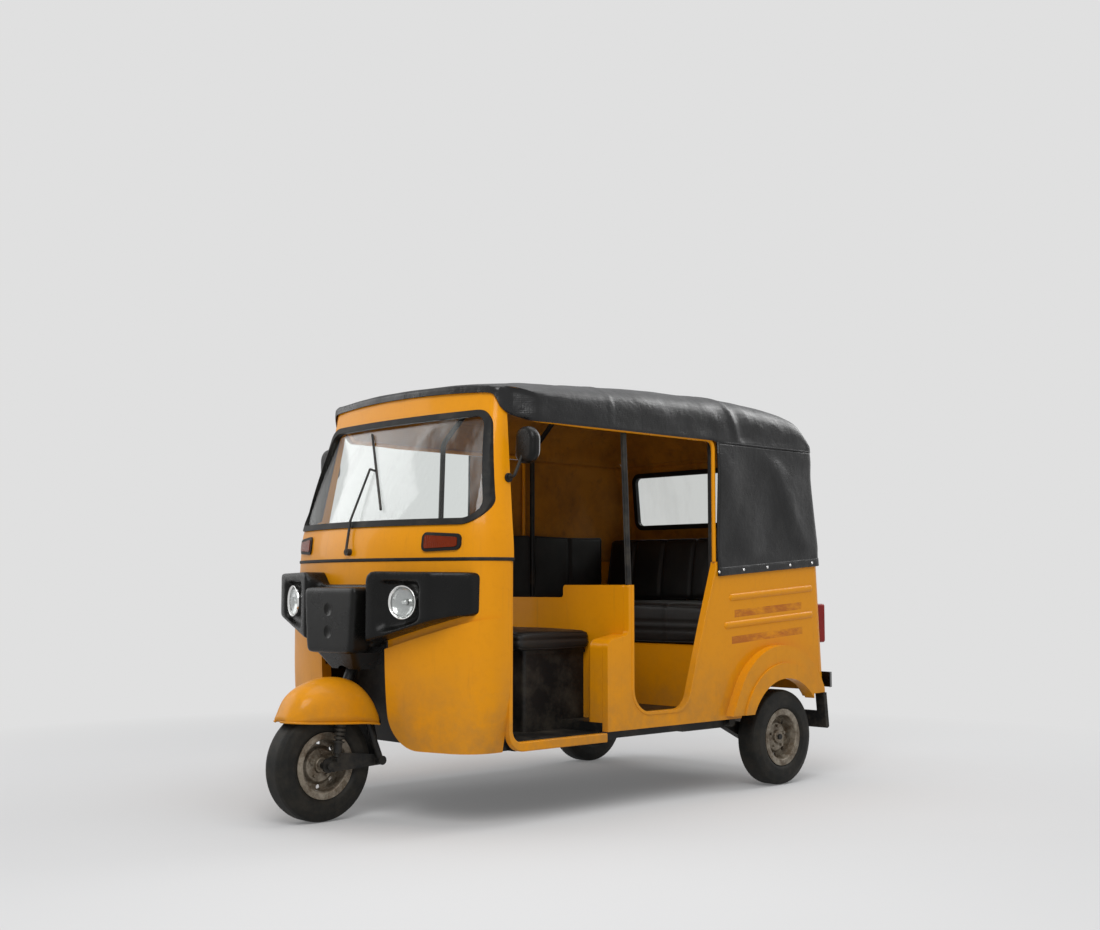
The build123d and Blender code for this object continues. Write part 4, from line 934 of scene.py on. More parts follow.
def snaps(line):
    """Domed fasteners along the hem."""
    verts, faces = [], []
    total, spacing, last = 0.0, 0.155, None
    for (ax, ay), (bx, by) in zip(line, line[1:]):
        total += math.hypot(bx - ax, by - ay)
        if last is None or total - last >= spacing:
            last = total
            out = Vector((by - ay, ax - bx, 0)).normalized()
            if out.dot(Vector((ax, ay - 0.9, 0))) < 0:
                out = -out
            dome(verts, faces, Vector((ax, ay, hem_z(ay) + 0.017)), out, 0.0062, 0.003)
    piece("hood_snaps", verts, faces, "body", "chrome")


def dome(verts, faces, at, out, radius, height, rings=4, sides=14):
    """Adds a domed stud that stands out of a surface."""
    a = out.orthogonal().normalized()
    b = out.cross(a)
    base = len(verts)
    for i in range(rings):
        t = i / rings * math.pi / 2
        r, h = radius * math.cos(t), height * math.sin(t)
        for k in range(sides):
            q = 2 * math.pi * k / sides
            verts.append(at + out * h + a * r * math.cos(q) + b * r * math.sin(q))
    verts.append(at + out * height)
    for i in range(rings - 1):
        for k in range(sides):
            m = (k + 1) % sides
            faces.append((base + i * sides + k, base + i * sides + m,
                          base + (i + 1) * sides + m, base + (i + 1) * sides + k))
    last = base + (rings - 1) * sides
    for k in range(sides):
        faces.append((last + k, last + (k + 1) % sides, len(verts) - 1))


def thicken(obj, depth):
    """Gives a sheet its thickness inwards, with the second material on its inner face."""
    mod = obj.modifiers.new("thickness", "SOLIDIFY")
    mod.thickness = depth
    mod.offset = -1
    mod.material_offset = 1
    mod.use_quality_normals = True


# Solid forms in millimetres, cut from one another, for pieces finer than their construction nodes

class Solid:
    """Closed mesh with union, difference and intersection, in millimetres."""

    def __init__(self, verts=(), faces=(), mesh=None):
        if mesh is None:
            mesh = bpy.data.meshes.new("form")
            mesh.from_pydata([tuple(v) for v in verts], [], [tuple(f) for f in faces])
            cleaned(mesh, 0.01)
        self.mesh = mesh

    def combine(self, other, kind):
        """Boolean of two solids; both stay as they are."""
        a = bpy.data.objects.new("a", self.mesh)
        b = bpy.data.objects.new("b", other.mesh)
        for obj in (a, b):
            bpy.context.collection.objects.link(obj)
        mod = a.modifiers.new("cut", "BOOLEAN")
        mod.operation, mod.solver, mod.object = kind, "EXACT", b
        made = Solid(mesh=evaluated(a))
        bpy.data.objects.remove(b)
        return made

    def __sub__(self, other):
        return self.combine(other, "DIFFERENCE")

    def __and__(self, other):
        return self.combine(other, "INTERSECT")

    def __add__(self, other):
        return self.combine(other, "UNION")

    def moved(self, matrix):
        mesh = self.mesh.copy()
        mesh.transform(matrix)
        if matrix.determinant() < 0:
            mesh.flip_normals()
        return Solid(mesh=mesh)

    def lists(self):
        return [v.co.copy() for v in self.mesh.vertices], [tuple(p.vertices) for p in self.mesh.polygons]


def joined(*solids):
    """Several solids as one, side by side."""
    verts, faces = [], []
    for s in solids:
        v, f = s.lists()
        faces += [tuple(k + len(verts) for k in face) for face in f]
        verts += v
    return Solid(verts, faces)


MIRROR = Matrix.Diagonal((-1, 1, 1, 1))


def paired(solid):
    """A solid and its mirror image on the other side."""
    return joined(solid, solid.moved(MIRROR))


def outline(rows):
    """Points of a closed outline from rows of x, y and corner radius."""
    pts = []
    n = len(rows)
    for i, (x, y, r) in enumerate(rows):
        at = Vector((x, y))
        if r <= 0:
            pts.append(at)
            continue
        u = (Vector(rows[i - 1][:2]) - at).normalized()
        v = (Vector(rows[(i + 1) % n][:2]) - at).normalized()
        half = u.angle(v) / 2
        leg = r / math.tan(half)
        centre = at + (u + v).normalized() * (r / math.sin(half))
        a, b = at + u * leg - centre, at + v * leg - centre
        turn = a.angle_signed(b)
        steps = max(2, math.ceil(abs(turn) / math.radians(9)))
        start = math.atan2(a.y, a.x)
        for k in range(steps + 1):
            t = start - turn * k / steps
            pts.append(centre + Vector((math.cos(t), math.sin(t))) * r)
    return pts


def shell_of(rings):
    """Closed solid through rings of points, with flat ends."""
    n = len(rings[0])
    verts, faces = grid(rings, closed=True)
    faces.append(tuple(range(n))[::-1])
    faces.append(tuple(range(len(verts) - n, len(verts))))
    return Solid(verts, faces)


def along_x(rows, x0, x1):
    """Solid of an outline in y and z, drawn out along X."""
    pts = outline(rows)
    return shell_of([[Vector((x, p.x, p.y)) for p in pts] for x in (x0, x1)])


def along_y(rows, y0, y1):
    """Solid of an outline in x and z, drawn out along Y."""
    pts = outline(rows)
    return shell_of([[Vector((p.x, y, p.y)) for p in pts] for y in (y0, y1)])


def along_z(rows, z0, z1):
    """Solid of an outline in x and y, drawn out along Z."""
    pts = outline(rows)
    return shell_of([[Vector((p.x, p.y, z)) for p in pts] for z in (z0, z1)])


def block(x, y, z):
    """Box between pairs of x, y and z."""
    return along_z([(x[0], y[0], 0), (x[1], y[0], 0), (x[1], y[1], 0), (x[0], y[1], 0)], z[0], z[1])


def rod(a, b, radius, sides=40):
    """Round solid between two points."""
    a, b = Vector(a), Vector(b)
    way = (b - a).normalized()
    u = way.orthogonal().normalized()
    return shell_of([ring_at(c, u, way.cross(u), radius, sides) for c in (a, b)])


def spun(rows, sides=56):
    """Ring made by turning a closed outline of radius and y about the Y axis."""
    pts = outline(rows)
    rings = []
    for k in range(sides + 1):
        t = 2 * math.pi * k / sides
        r = [max(p.x, 0.0) for p in pts]
        rings.append([Vector((a * math.cos(t), p.y, a * math.sin(t))) for a, p in zip(r, pts)])
    verts, faces = grid(rings, closed=True)
    return Solid(verts, faces)


def bent(points, bend):
    """Line through points with its corners rounded by arcs."""
    pts = [Vector(p) for p in points]
    out = [pts[0]]
    for before, at, after in zip(pts, pts[1:], pts[2:]):
        u, v = (before - at).normalized(), (after - at).normalized()
        half = u.angle(v) / 2
        leg = bend / math.tan(half)
        for k in range(9):
            t = k / 8
            out.append((at + u * leg) * (1 - t) ** 2 + at * 2 * t * (1 - t) + (at + v * leg) * t * t)
    return out + [pts[-1]]


def bar(points, radius, bend, sides=14):
    """Round bar along straight runs joined by arcs."""
    return shell_of(rings_round(bent(points, bend), radius, sides))


def form(name, solid, body, material, replaces=(), bevel=0.0, steps=3, angle=32.0):
    """Piece from a solid, with its edges rounded and its curves smooth."""
    verts, faces = solid.lists()
    obj = piece(name, [v * 0.001 for v in verts], faces, body, material, replaces=replaces)
    mesh = obj.data
    tidy = bmesh.new()
    tidy.from_mesh(mesh)
    bmesh.ops.remove_doubles(tidy, verts=tidy.verts, dist=0.0002)
    bmesh.ops.dissolve_limit(tidy, angle_limit=math.radians(0.6), verts=tidy.verts, edges=tidy.edges)
    tidy.to_mesh(mesh)
    tidy.free()
    mesh.shade_smooth()
    mesh.set_sharp_from_angle(angle=math.radians(angle))
    if bevel:
        mod = obj.modifiers.new("edges", "BEVEL")
        mod.width, mod.segments, mod.limit_method = bevel * 0.001, steps, "ANGLE"
        mod.angle_limit = math.radians(angle)
        mod.miter_outer = "MITER_ARC"
        mod.harden_normals = True
    mod = obj.modifiers.new("shading", "WEIGHTED_NORMAL")
    mod.keep_sharp = True
    return obj


def moulded(solid, rounds):
    """Solid with all of its edges softened, as a thick moulding has them."""
    obj = bpy.data.objects.new("moulded", solid.mesh)
    bpy.context.collection.objects.link(obj)
    mod = obj.modifiers.new("cells", "REMESH")
    mod.mode, mod.voxel_size = "VOXEL", 5.0
    mod = obj.modifiers.new("soften", "SMOOTH")
    mod.factor, mod.iterations = 0.5, rounds
    return Solid(mesh=evaluated(obj))


# The cab

HALF = 600.0
GAP = 0.3
SKIN = 25.0
WALL = 30.0
BEAD_Z = (953.0, 965.0)
CAB_HIGH = 1640.0
DOOR_Y = -690.0
# Height, half width, y where the corner starts, corner radius, y of the middle of the front
CAB = [
    (262.0, 560.0, -720.0, 130.0, -912.0),
    (450.0, 596.0, -710.0, 150.0, -938.0),
    (700.0, 606.0, -706.0, 155.0, -950.0),
    (960.0, 605.0, -700.0, 150.0, -951.0),
    (1090.0, 592.0, -692.0, 150.0, -930.0),
    (1500.0, 520.0, -650.0, 45.0, -735.0),
    (1578.0, 510.0, -642.0, 42.0, -727.0),
    (CAB_HIGH, 503.0, -636.0, 40.0, -720.0),
]
# Rear edge of the upper cab: height, y
CAB_BACK = [(960.0, -676.0), (1090.0, -672.0), (1500.0, -634.0), (1578.0, -628.0), (CAB_HIGH, -622.0)]
# Windscreen's opening at its lower and upper edge: half width, height, corner radius
SCREEN = [(587.0, 1084.0, 80.0), (498.0, 1518.0, 78.0)]
SEAL_WIDE, SEAL_PROUD = 24.0, 7.0
GLASS_IN, GLASS_THICK = 8.0, 5.0


def cab_row(z):
    """Section of the cab at a height."""
    return tuple([z] + curve_at(CAB, z))


def front_circle(row, inset):
    """Radius and centre of the cab's front in plan, and where it meets the corner."""
    _, half, side_y, r, nose = row
    x, deep = half - r, side_y - nose
    radius = (x * x + deep * deep - r * r) / (2 * (deep - r))
    centre = nose + radius
    reach = (r - inset) / (radius - r)
    return radius - inset, centre, (x * (1 + reach), side_y + (side_y - centre) * reach)


def cab_ring(row, inset, back):
    """Plan outline of the cab, moved in by inset, its back edge at back."""
    z, half, side_y, r, _ = row
    radius, centre, (tx, ty) = front_circle(row, inset)
    x, small = half - r, r - inset
    right = [(half - inset, back), (half - inset, (back + side_y) / 2)]
    corner = math.atan2(side_y - ty, tx - x)
    right += [(x + small * math.cos(a), side_y - small * math.sin(a))
              for a in (corner * k / 12 for k in range(13))]
    front = math.atan2(tx, centre - ty)
    right += [(radius * math.sin(a), centre - radius * math.cos(a))
              for a in (front * (1 - k / 14) for k in range(1, 15))]
    return [Vector((px, py, z)) for px, py in right + [(-px, py) for px, py in right[-2::-1]]]


def heights(low, high, step):
    """Evenly spaced heights, about a step apart."""
    count = max(2, round((high - low) / step))
    return [low + (high - low) * k / count for k in range(count + 1)]


def lower_cab(inset, back, top=BEAD_Z[0] - GAP, swell=None):
    """Solid inside the lower cab's skin, moved in by inset."""
    rings = []
    for z in heights(CAB[0][0], top, 46):
        z0, half, side_y, r, nose = cab_row(z)
        if swell:
            side_y, nose = side_y - swell[0], nose - swell[1]
        rings.append(cab_ring((z0, half, side_y, r, nose), inset, back))
    return shell_of(rings)


def upper_cab(inset, low, high, opened=0.0):
    """Solid inside the upper cab's skin, moved in by inset, its back edge moved out by opened."""
    return shell_of([cab_ring(cab_row(z), inset, along(CAB_BACK, z) + opened)
                     for z in heights(low, high, 34)])


def screen_rows(grow):
    """Outline of the windscreen's opening, grown outwards."""
    (low_x, low_z, low_r), (top_x, top_z, top_r) = SCREEN
    return [(-low_x - grow, low_z - grow, low_r + grow), (low_x + grow, low_z - grow, low_r + grow),
            (top_x + grow, top_z + grow, top_r + grow), (-top_x - grow, top_z + grow, top_r + grow)]


def screen_cut(grow, deeper):
    """Solid of the windscreen's opening, ending on a slope behind the cab's front."""
    slab = along_x([(-1100, 1024, 0), (-719.9 + deeper, 1024, 0),
                    (-647.1 + deeper, 1578, 0), (-1100, 1578, 0)], -700, 700)
    return slab & along_y(screen_rows(grow), -1100, -590)


def shields(grow):
    """Swollen leg shields up to their ledge, grown outwards."""
    whole = lower_cab(-grow, DOOR_Y, 796.0, (14.0, 18.0))
    slope = (736 - 645) / (560 - 250)
    under = along_y([(100, 100, 0), (700, 100, 0), (700, 736 + 140 * slope + grow, 0),
                     (100, 645 - 150 * slope + grow, 0)], -1200, DOOR_Y)
    return paired(whole & under)


def under_roof(drop):
    """Solid below the hood's roof at the cab, down by drop."""
    top = [(x, roof_z(x * 0.001, -0.700) * 1000 - drop, 0) for x in range(500, -501, -50)]
    return along_y([(-620, 900, 0), (620, 900, 0), (620, 1500, 0), (540, 1556 - drop, 0)] + top
                   + [(-540, 1556 - drop, 0), (-620, 1500, 0)], -1100, -560)


def cab_skins():
    """Cab's skin above and below the bead."""
    low = BEAD_Z[1] + GAP
    outside = upper_cab(0, low, CAB_HIGH) & under_roof(7)
    inside = upper_cab(SKIN, low - 5, CAB_HIGH, 60) & under_roof(SKIN)
    skin = (outside - inside) - screen_cut(0, 0)
    form("cab_upper_skin", skin, "body", "yellow_paint", ("cab_upper",), 2.5)
    room = lower_cab(SKIN, DOOR_Y + 60)
    skin = (lower_cab(0, DOOR_Y) + shields(0)) - room.moved(Matrix.Translation((0, 0, -0.5))) - room
    cavity = along_y([(-700, 200, 0), (700, 200, 0), (700, 264, 0), (200, 264, 130), (200, 700, 40),
                      (-200, 700, 40), (-200, 264, 130), (-700, 264, 0)], -1100, DOOR_Y + 1)
    form("front_apron_skin", skin - cavity, "body", "yellow_paint", ("front_apron",), 4.0)


def window_forms():
    """Windscreen, and the rubber seals of the windscreen and the rear window."""
    pane = upper_cab(GLASS_IN, 1054, 1548, 20) - upper_cab(GLASS_IN + GLASS_THICK, 1050, 1552, 40)
    pane = pane & screen_cut(-SEAL_WIDE - GAP, -GAP)
    form("windscreen_pane", pane, "body", "glass", ("windscreen",))
    ring = upper_cab(-SEAL_PROUD, 1044, 1558, 20) - upper_cab(SKIN - 2, 1040, 1562, 40)
    ring = ring & (screen_cut(-GAP, -GAP) - screen_cut(-SEAL_WIDE, 30))
    seals = joined(ring, rear_seal())
    form("windscreen_rubber", seals, "body", "rubber_trim", ("window_seals",), 5.0, 3, 50)


def waist_forms():
    """Rubber at the waist, the dashboard cut to fit in the skin, and the doors' rims."""
    row = cab_row(959.0)
    band, room = [shell_of([[Vector((p.x, p.y, z)) for p in cab_ring(row, inset, back)] for z in span])
                  for inset, back, span in ((-4, -674, BEAD_Z), (SKIN, -600, (945, 975)))]
    form("waist_rubber", band - room, "body", "rubber_trim", ("waist_bead",), 2.5)
    shelf = nodes["dashboard"].data
    shelf = Solid([v.co * 1000 for v in shelf.vertices], [p.vertices for p in shelf.polygons])
    shelf = shelf & lower_cab(SKIN + 2, DOOR_Y + 300, 1250.0)
    form("dash_shelf", shelf, "body", "black_plastic", ("dashboard",))
    rim = along_x([(-689.7, 952.7, 0), (-689.7, 264, 70), (-180.3, 264, 0), (-180.3, 298, 0),
                   (-674, 298, 45), (-674, 952.7, 0)], 570, 600)
    form("door_rims", paired(rim), "body", "yellow_paint", ("door_frames",), 4.0)


def window_rows(grow):
    """Outline of the rear window's opening, grown outwards."""
    half, low, high, r = [v * 1000 for v in WINDOW]
    half, low, high, r = half + grow, low - grow, high + grow, r + grow
    return [(-half, low, r), (half, low, r), (half, high, r), (-half, high, r)]


def rear_seal():
    """Black frame of the rear window."""
    (y0, z0), (y1, z1) = (1256.5, 900.0), (1199.0, 1470.0)
    slab = along_x([(y0 - 16, z0, 0), (y0 + 6, z0, 0), (y1 + 6, z1, 0), (y1 - 16, z1, 0)], -700, 700)
    return slab & (along_y(window_rows(9), 1000, 1400) - along_y(window_rows(-14), 1000, 1400))


# The black front mouldings and lamps

FASCIA_PLAN = [(168.0, -985.0, 6.0), (186.0, -1039.0, 18.0), (474.0, -962.0, 50.0),
               (588.0, -826.0, 24.0), (588.0, -740.0, 0.0)]
FASCIA_FACE = [(150.0, 634.0, 8.0), (167.0, 652.0, 12.0), (520.0, 752.0, 30.0), (566.0, 756.0, 14.0),
               (566.0, 911.0, 16.0), (207.0, 916.0, 22.0), (160.0, 868.0, 14.0)]
RECESS = [[(-126.0, -126.0, 24.0), (80.0, -64.0, 24.0), (80.0, 84.0, 24.0), (-126.0, 84.0, 24.0)],
          [(-90.0, -92.0, 20.0), (66.0, -68.0, 20.0), (66.0, 67.0, 20.0), (-90.0, 67.0, 20.0)]]
LAMP_R = 63.0
AT_LAMP = Matrix.Translation((350, -995, 803)) @ Matrix.Rotation(math.radians(15), 4, "Z")


def whole_of(rows):
    """Outline and its mirror image as one."""
    return rows + [(-x, y, r) for x, y, r in rows[::-1]]


def headlamp_forms():
    """Headlamp moulding with its recesses, and each lamp's bezel, glass, reflector and bulb."""
    blank = along_z(whole_of(FASCIA_PLAN), 600, 950) & along_y(whole_of(FASCIA_FACE), -1100, -700)
    blank = blank - lower_cab(14, DOOR_Y + 80)
    ends = [[Vector((p.x, y, p.y)) for p in outline(rows)] for rows, y in zip(RECESS, (-6.0, 30.0))]
    blank = moulded(blank - paired(shell_of(ends).moved(AT_LAMP)), 34)
    blank = blank - paired(rod((0, -60, 0), (0, 38, 0), LAMP_R, 64).moved(AT_LAMP))
    form("headlamp_moulding", blank, "body", "black_plastic", ("headlamp_fascia",), angle=48)
    ring = [(54, 12, 0), (60, 4, 2), (62.7, 12, 2), (62.7, 37, 0), (54, 37, 0)]
    cover = [(0.0, 2.0, 0), (18.0, 3.2, 0), (34.0, 6.4, 0), (47.0, 10.8, 0), (53.7, 14.5, 0),
             (53.7, 18.0, 0), (47.0, 14.3, 0), (34.0, 9.9, 0), (18.0, 6.7, 0), (0.0, 5.5, 0)]
    bowl = [(0.0, 34.0, 0), (20.0, 33.0, 0), (38.0, 29.0, 0), (49.0, 22.0, 0), (53.7, 17.0, 0),
            (53.7, 37.0, 0), (0.0, 37.5, 0)]
    bulb = [(0.0, 14.0, 0), (7.0, 16.0, 0), (11.0, 21.0, 0), (11.0, 30.0, 0), (0.0, 32.0, 0)]
    for name, rows, sides, material, replaces in (
            ("headlamp_bezels", ring, 56, "chrome", ("headlamp_rings",)),
            ("headlamp_glass", cover, 56, "lamp_glass", ("headlamp_lenses",)),
            ("headlamp_reflectors", bowl, 56, "reflector", ()),
            ("headlamp_bulbs", bulb, 24, "chrome", ())):
        form(name, paired(spun(rows, sides).moved(AT_LAMP)), "body", material, replaces)


def grille_form():
    """Centre panel with two plain round dimples."""
    slab = along_y([(-142, 612, 24), (142, 612, 24), (162, 858, 20), (-162, 858, 20)], -1064, -965)
    dish = spun([(0, 7.0, 0), (8, 6.2, 0), (14, 4.8, 0), (19, 2.9, 0), (24, 0.4, 0), (28, -3.0, 0),
                 (28, -40, 0), (0, -40, 0)])
    dishes = joined(*[dish.moved(Matrix.Translation((0, -1063.4, z))) for z in (775, 692)])
    panel = moulded(slab, 40) - dishes
    form("grille_moulding", panel, "body", "black_plastic", ("grille_panel",), angle=70)


def scoop_solid(back, stations):
    """Solid of the scoop by height: half widths at the back and the front, y of the front, radius."""
    return shell_of([[Vector((p.x, p.y, z)) for p in
                      outline([(-wide, back, 0), (wide, back, 0), (slim, front, r), (-slim, front, r)])]
                     for z, wide, slim, front, r in stations])


def scoop_form():
    """Scoop below the centre panel and the housing behind it, both open for the fork's stem."""
    base, lip = 552.0, 615.7
    outer = scoop_solid(-930, ((base, 112, 84, -990, 34), (lip, 152, 122, -1036, 34)))
    inner = scoop_solid(-920, ((base + 10, 102, 76, -980, 28), (lip + 8, 144, 114, -1028, 28)))
    box = along_z([(-199.7, -936, 10), (199.7, -936, 10), (199.7, -800.3, 30), (-199.7, -800.3, 30)],
                  560, 655)
    room = along_z([(-191.7, -956, 0), (191.7, -956, 0), (191.7, -808, 24), (-191.7, -808, 24)],
                   555, 647)
    hole = rod((0, -980.7, 480), (0, -860.1, 760), 50)
    housing = joined((box - room) - hole, (outer - inner) - hole)
    form("fork_housing", housing, "body", "black_plastic", ("fork_shroud",), 3.0)


def indicator_rows(grow):
    """Outline of an indicator's lens, grown outwards."""
    x0, x1, r = 364 - grow, 492 + grow, 8 + grow
    return [(x0, 998 - grow, r), (x1, 1004 - grow, r), (x1, 1038 + grow, r), (x0, 1047 + grow, r)]


def corner_plate(proud):
    """Curved plate round the cab's front at the indicators, proud of the skin."""
    return upper_cab(-proud, 975, 1080, 20) - upper_cab(-GAP, 970, 1085, 40)


def indicator_forms():
    """Amber lens on each corner of the cab in its black surround."""
    amber = corner_plate(10) & along_y(indicator_rows(0), -1100, -760)
    form("indicator_lenses", paired(amber), "body", "lens_amber", ("front_indicators",), 2.5)
    rim = corner_plate(SEAL_PROUD) & along_y(indicator_rows(12), -1100, -760)
    rim = rim - along_y(indicator_rows(GAP), -1100, -760)
    form("indicator_surrounds", paired(rim), "body", "rubber_trim", (), 2.5)


# Mirrors, rear body and rails

def mirror_forms():
    """Mirrors: foot on the pillar, bent arm, rounded head and its glass."""
    x, y = 565.0, -670.0
    arm = bar([(x, y, 1258), (x + 33, y, 1262), (x + 44, y + 30, 1340)], 6, 12)
    foot = rod((x - 1, y, 1258), (x + 8, y, 1258), 17)
    ball = rod((x + 8, y, 1258), (x + 16, y, 1258), 10)
    head = along_y([(x + 2, 1312, 38), (x + 106, 1308, 46), (x + 108, 1446, 48), (x + 8, 1446, 40)],
                   -646, -602)
    form("mirror_arms", paired(joined(arm, foot, ball)), "body", "black_paint", (), 1.5)
    form("mirror_heads", paired(head), "body", "black_plastic", ("mirrors",), 18.0, 6, 38)
    pane = along_y([(x + 14, 1322, 30), (x + 96, 1319, 38), (x + 98, 1436, 38), (x + 18, 1436, 32)],
                   -603, -600.5)
    form("mirror_glass", paired(pane), "body", "chrome")


# Cut-out of the left door and of the closed right wall: y, z, corner radius
DOOR = [(-31.0, 1300.0, 0.0), (-31.0, 365.0, 95.0), (285.0, 365.0, 80.0), (393.0, 700.0, 200.0),
        (482.0, 958.0, 60.0), (482.0, 1300.0, 0.0)]
CLOSED = [(-31.0, 1300.0, 0.0), (-31.0, 866.0, 30.0), (150.0, 866.0, 30.0), (150.0, 1300.0, 0.0)]
# y of the rear face at 300 mm and 700 mm above that
REAR_LOW, REAR_HIGH = 1281.0, 1232.0


def body_top(y):
    """Height of the side's upper edge at y."""
    return 963 + (y - 492) * 0.0374


def grown_door(grow):
    """Outline of the left door's cut-out, grown outwards."""
    (y0, top, _), (_, low, r0), (y1, _, r1), (y2, z2, r2), (y3, z3, r3), (y4, _, _) = DOOR
    lift = grow * 0.2
    return [(y0 - grow, top, 0), (y0 - grow, low - grow, r0 + grow),
            (y1 + grow * 0.7, low - grow, r1 + grow), (y2 + grow, z2 - lift, r2),
            (y3 + grow, z3 - lift, r3), (y4 + grow, top, 0)]


def body_ring(inset, low, high):
    """Solid inside the rear body's skin between two heights, moved in by inset."""
    rings = []
    for z in (low, high):
        rear = REAR_LOW + (REAR_HIGH - REAR_LOW) * (z - 300) / 700 - inset
        half, front, r = HALF - inset, -180 - inset * 2, 60.0 - inset
        rows = [(-half, front, 0), (half, front, 0), (half, rear, r), (-half, rear, r)]
        rings.append([Vector((p.x, p.y, z)) for p in outline(rows)])
    return shell_of(rings)


def side_forms():
    """Rear body sides with the slanted, rolled door edge, the wheel opening and the pressed ribs."""
    shell = body_ring(0, 300, 1000) - body_ring(WALL, 290, 1010)
    side = shell & block((0, 700), (-300, 1205), (200, 1100))
    keep = along_x([(-180, 302, 0), (-180, 650, 36), (-60, 672, 20), (-60, 866, 8), (-15, 866, 8),
                    (25, body_top(25), 0), (1225, body_top(1225), 0), (1225, 385, 0), (700, 302, 0)],
                   500, 700)
    side = side & keep
    arch = rod((0, 900, 204), (900, 900, 204), 276, 72)
    rim = along_x(grown_door(12), 599, 603) & keep & block((500, 700), (-300, 486), (200, 950))
    ribs = [swage(565, 1165, 812, 852), swage(530, 1165, 694, 734)]
    for name, wall, rows in (("left", side + rim, DOOR), ("right", side, CLOSED)):
        solids = [(wall - along_x(rows, 500, 700)) - arch] + ribs
        if name == "right":
            solids = [solid.moved(MIRROR) for solid in solids]
        form("side_skin_" + name, solids[0], "body", "yellow_striped", ("side_panel_" + name,), 2.5, 3, 25)
        for k, rib in enumerate(solids[1:]):
            form("swage_%s_%d" % (name, k + 1), rib, "body", "yellow_striped")


def swage(y0, y1, z0, z1):
    """Pressed rib that rises softly from the panel and fades at both ends."""
    rings = []
    length = math.hypot(y1 - y0, z1 - z0)
    turn = [math.pi * (j / 10 - 0.5) for j in range(11)]
    for k in range(61):
        t = k / 60
        y, z = y0 + (y1 - y0) * t, z0 + (z1 - z0) * t
        near = min(t, 1 - t) * length
        size = math.sqrt(max(0.0, 1 - (1 - min(1.0, near / 16)) ** 2))
        half, high = 14 * size + 0.4, 6.5 * size + 0.2
        ring = [Vector((HALF + high * (math.cos(a) ** 1.4 if math.cos(a) > 0 else 0), y,
                        z + half * math.sin(a))) for a in turn]
        ring += [Vector((HALF - 2, y, z + half * (1 - 2 * j / 3))) for j in range(4)]
        rings.append(ring)
    return shell_of(rings)


def hoop(y, low, foot, rail, top):
    """Bent tube across the body from foot to foot under the hood."""
    left = [(foot, y, low), (rail, y, 1507.7), (400, y, top - 22)]
    right = [(-x, y, z) for x, y, z in left[::-1]]
    return bar(left + [(0, y, top)] + right, 12, 60)


def rail_forms():
    """Black hoops under the hood and the yellow rail over the doors on each side."""
    hoops = joined(hoop(-46, 866.8, 586, 560, 1657), hoop(506, 335.3, 553, 553, 1669))
    form("roof_hoops", hoops, "body", "black_paint", ("roof_frame",))
    rail = bar([(481.6, -651.4, 1534), (566, -540, 1483.7), (581.7, -290, 1477.7), (588, 482, 1477.7),
                (588, 482, 963.3)], 9, 46) - block((300, 700), (-800, -630.4), (1400, 1600))
    form("door_rails", paired(rail), "body", "yellow_paint")


# Cushions

def once_round(long, short):
    """Points once round a square from -1 to 1, with counts of steps along its sides."""
    ring = [(-1 + 2 * i / long, -1) for i in range(long + 1)]
    ring += [(1, -1 + 2 * i / short) for i in range(1, short + 1)]
    ring += [(1 - 2 * i / long, 1) for i in range(1, long + 1)]
    return ring + [(-1, 1 - 2 * i / short) for i in range(1, short)]


def pad(name, node, centre, size, turn, radius, crown, lines, seams, material="seat_vinyl"):
    """Stuffed pad: crowned top, sides pulled in between the corners, sewn channels and piping."""
    half = Vector(size) / 2

    def at(a, b, c):
        p = Vector((a * half.x, b * half.y, c * half.z))
        p.x *= 1 - 0.022 * (1 - b * b)
        p.y *= 1 - 0.035 * (1 - a * a)
        inner = Vector([max(-(h - radius), min(h - radius, v)) for h, v in zip(half, p)])
        off = p - inner
        if off.length > radius:
            p = inner + off.normalized() * radius
        dome_up = (1 - a ** 4) * (1 - b ** 4) * max(0.0, c)
        sewn = sum(ridge_at(p.x - x, 0.007, 1.0) for x in lines)
        band = sum(ridge_at(p.z - half.z * z, 0.0035, 1.0) for z in seams)
        p.z += crown * dome_up - 0.011 * sewn * max(0.0, c) ** 4
        p.z += ripple((p.x, p.y, 0), 9.0, 0.004, 2) * dome_up
        side = Vector((p.x / half.x if abs(a) > 0.985 else 0, p.y / half.y if abs(b) > 0.985 else 0, 0))
        p -= side * (0.004 * band + 0.004 * (sewn if abs(b) > 0.985 else 0))
        p += side * 0.004 * (1 - c * c) * (1 - band if band < 1 else 0)
        return Vector(centre) + turn @ p

    nx, ny, nz = [max(12, round(v / 0.009)) for v in size]
    verts, faces = [], []
    sides = [(nx, ny, lambda u, v: (u, v, 1)), (nx, ny, lambda u, v: (-u, v, -1)),
             (nx, nz, lambda u, v: (u, -1, v)), (nx, nz, lambda u, v: (-u, 1, v)),
             (ny, nz, lambda u, v: (1, u, v)), (ny, nz, lambda u, v: (-1, -u, v))]
    for nu, nv, put in sides:
        add_part(verts, faces, [[at(*put(2 * i / nu - 1, 2 * j / nv - 1)) for i in range(nu + 1)]
                                for j in range(nv + 1)])
    obj = piece(name, verts, faces, "body", material, replaces=(node,) if node else ())
    cleaned(obj.data, MERGE)
    for k, level in enumerate((0.93, -0.93)):
        ring = [at(a, b, level) for a, b in once_round(40, 24)]
        pipe(name + "_piping_%d" % (k + 1), ring, 0.0034, "body", material, closed=True, sides=6,
             smooth_steps=0)


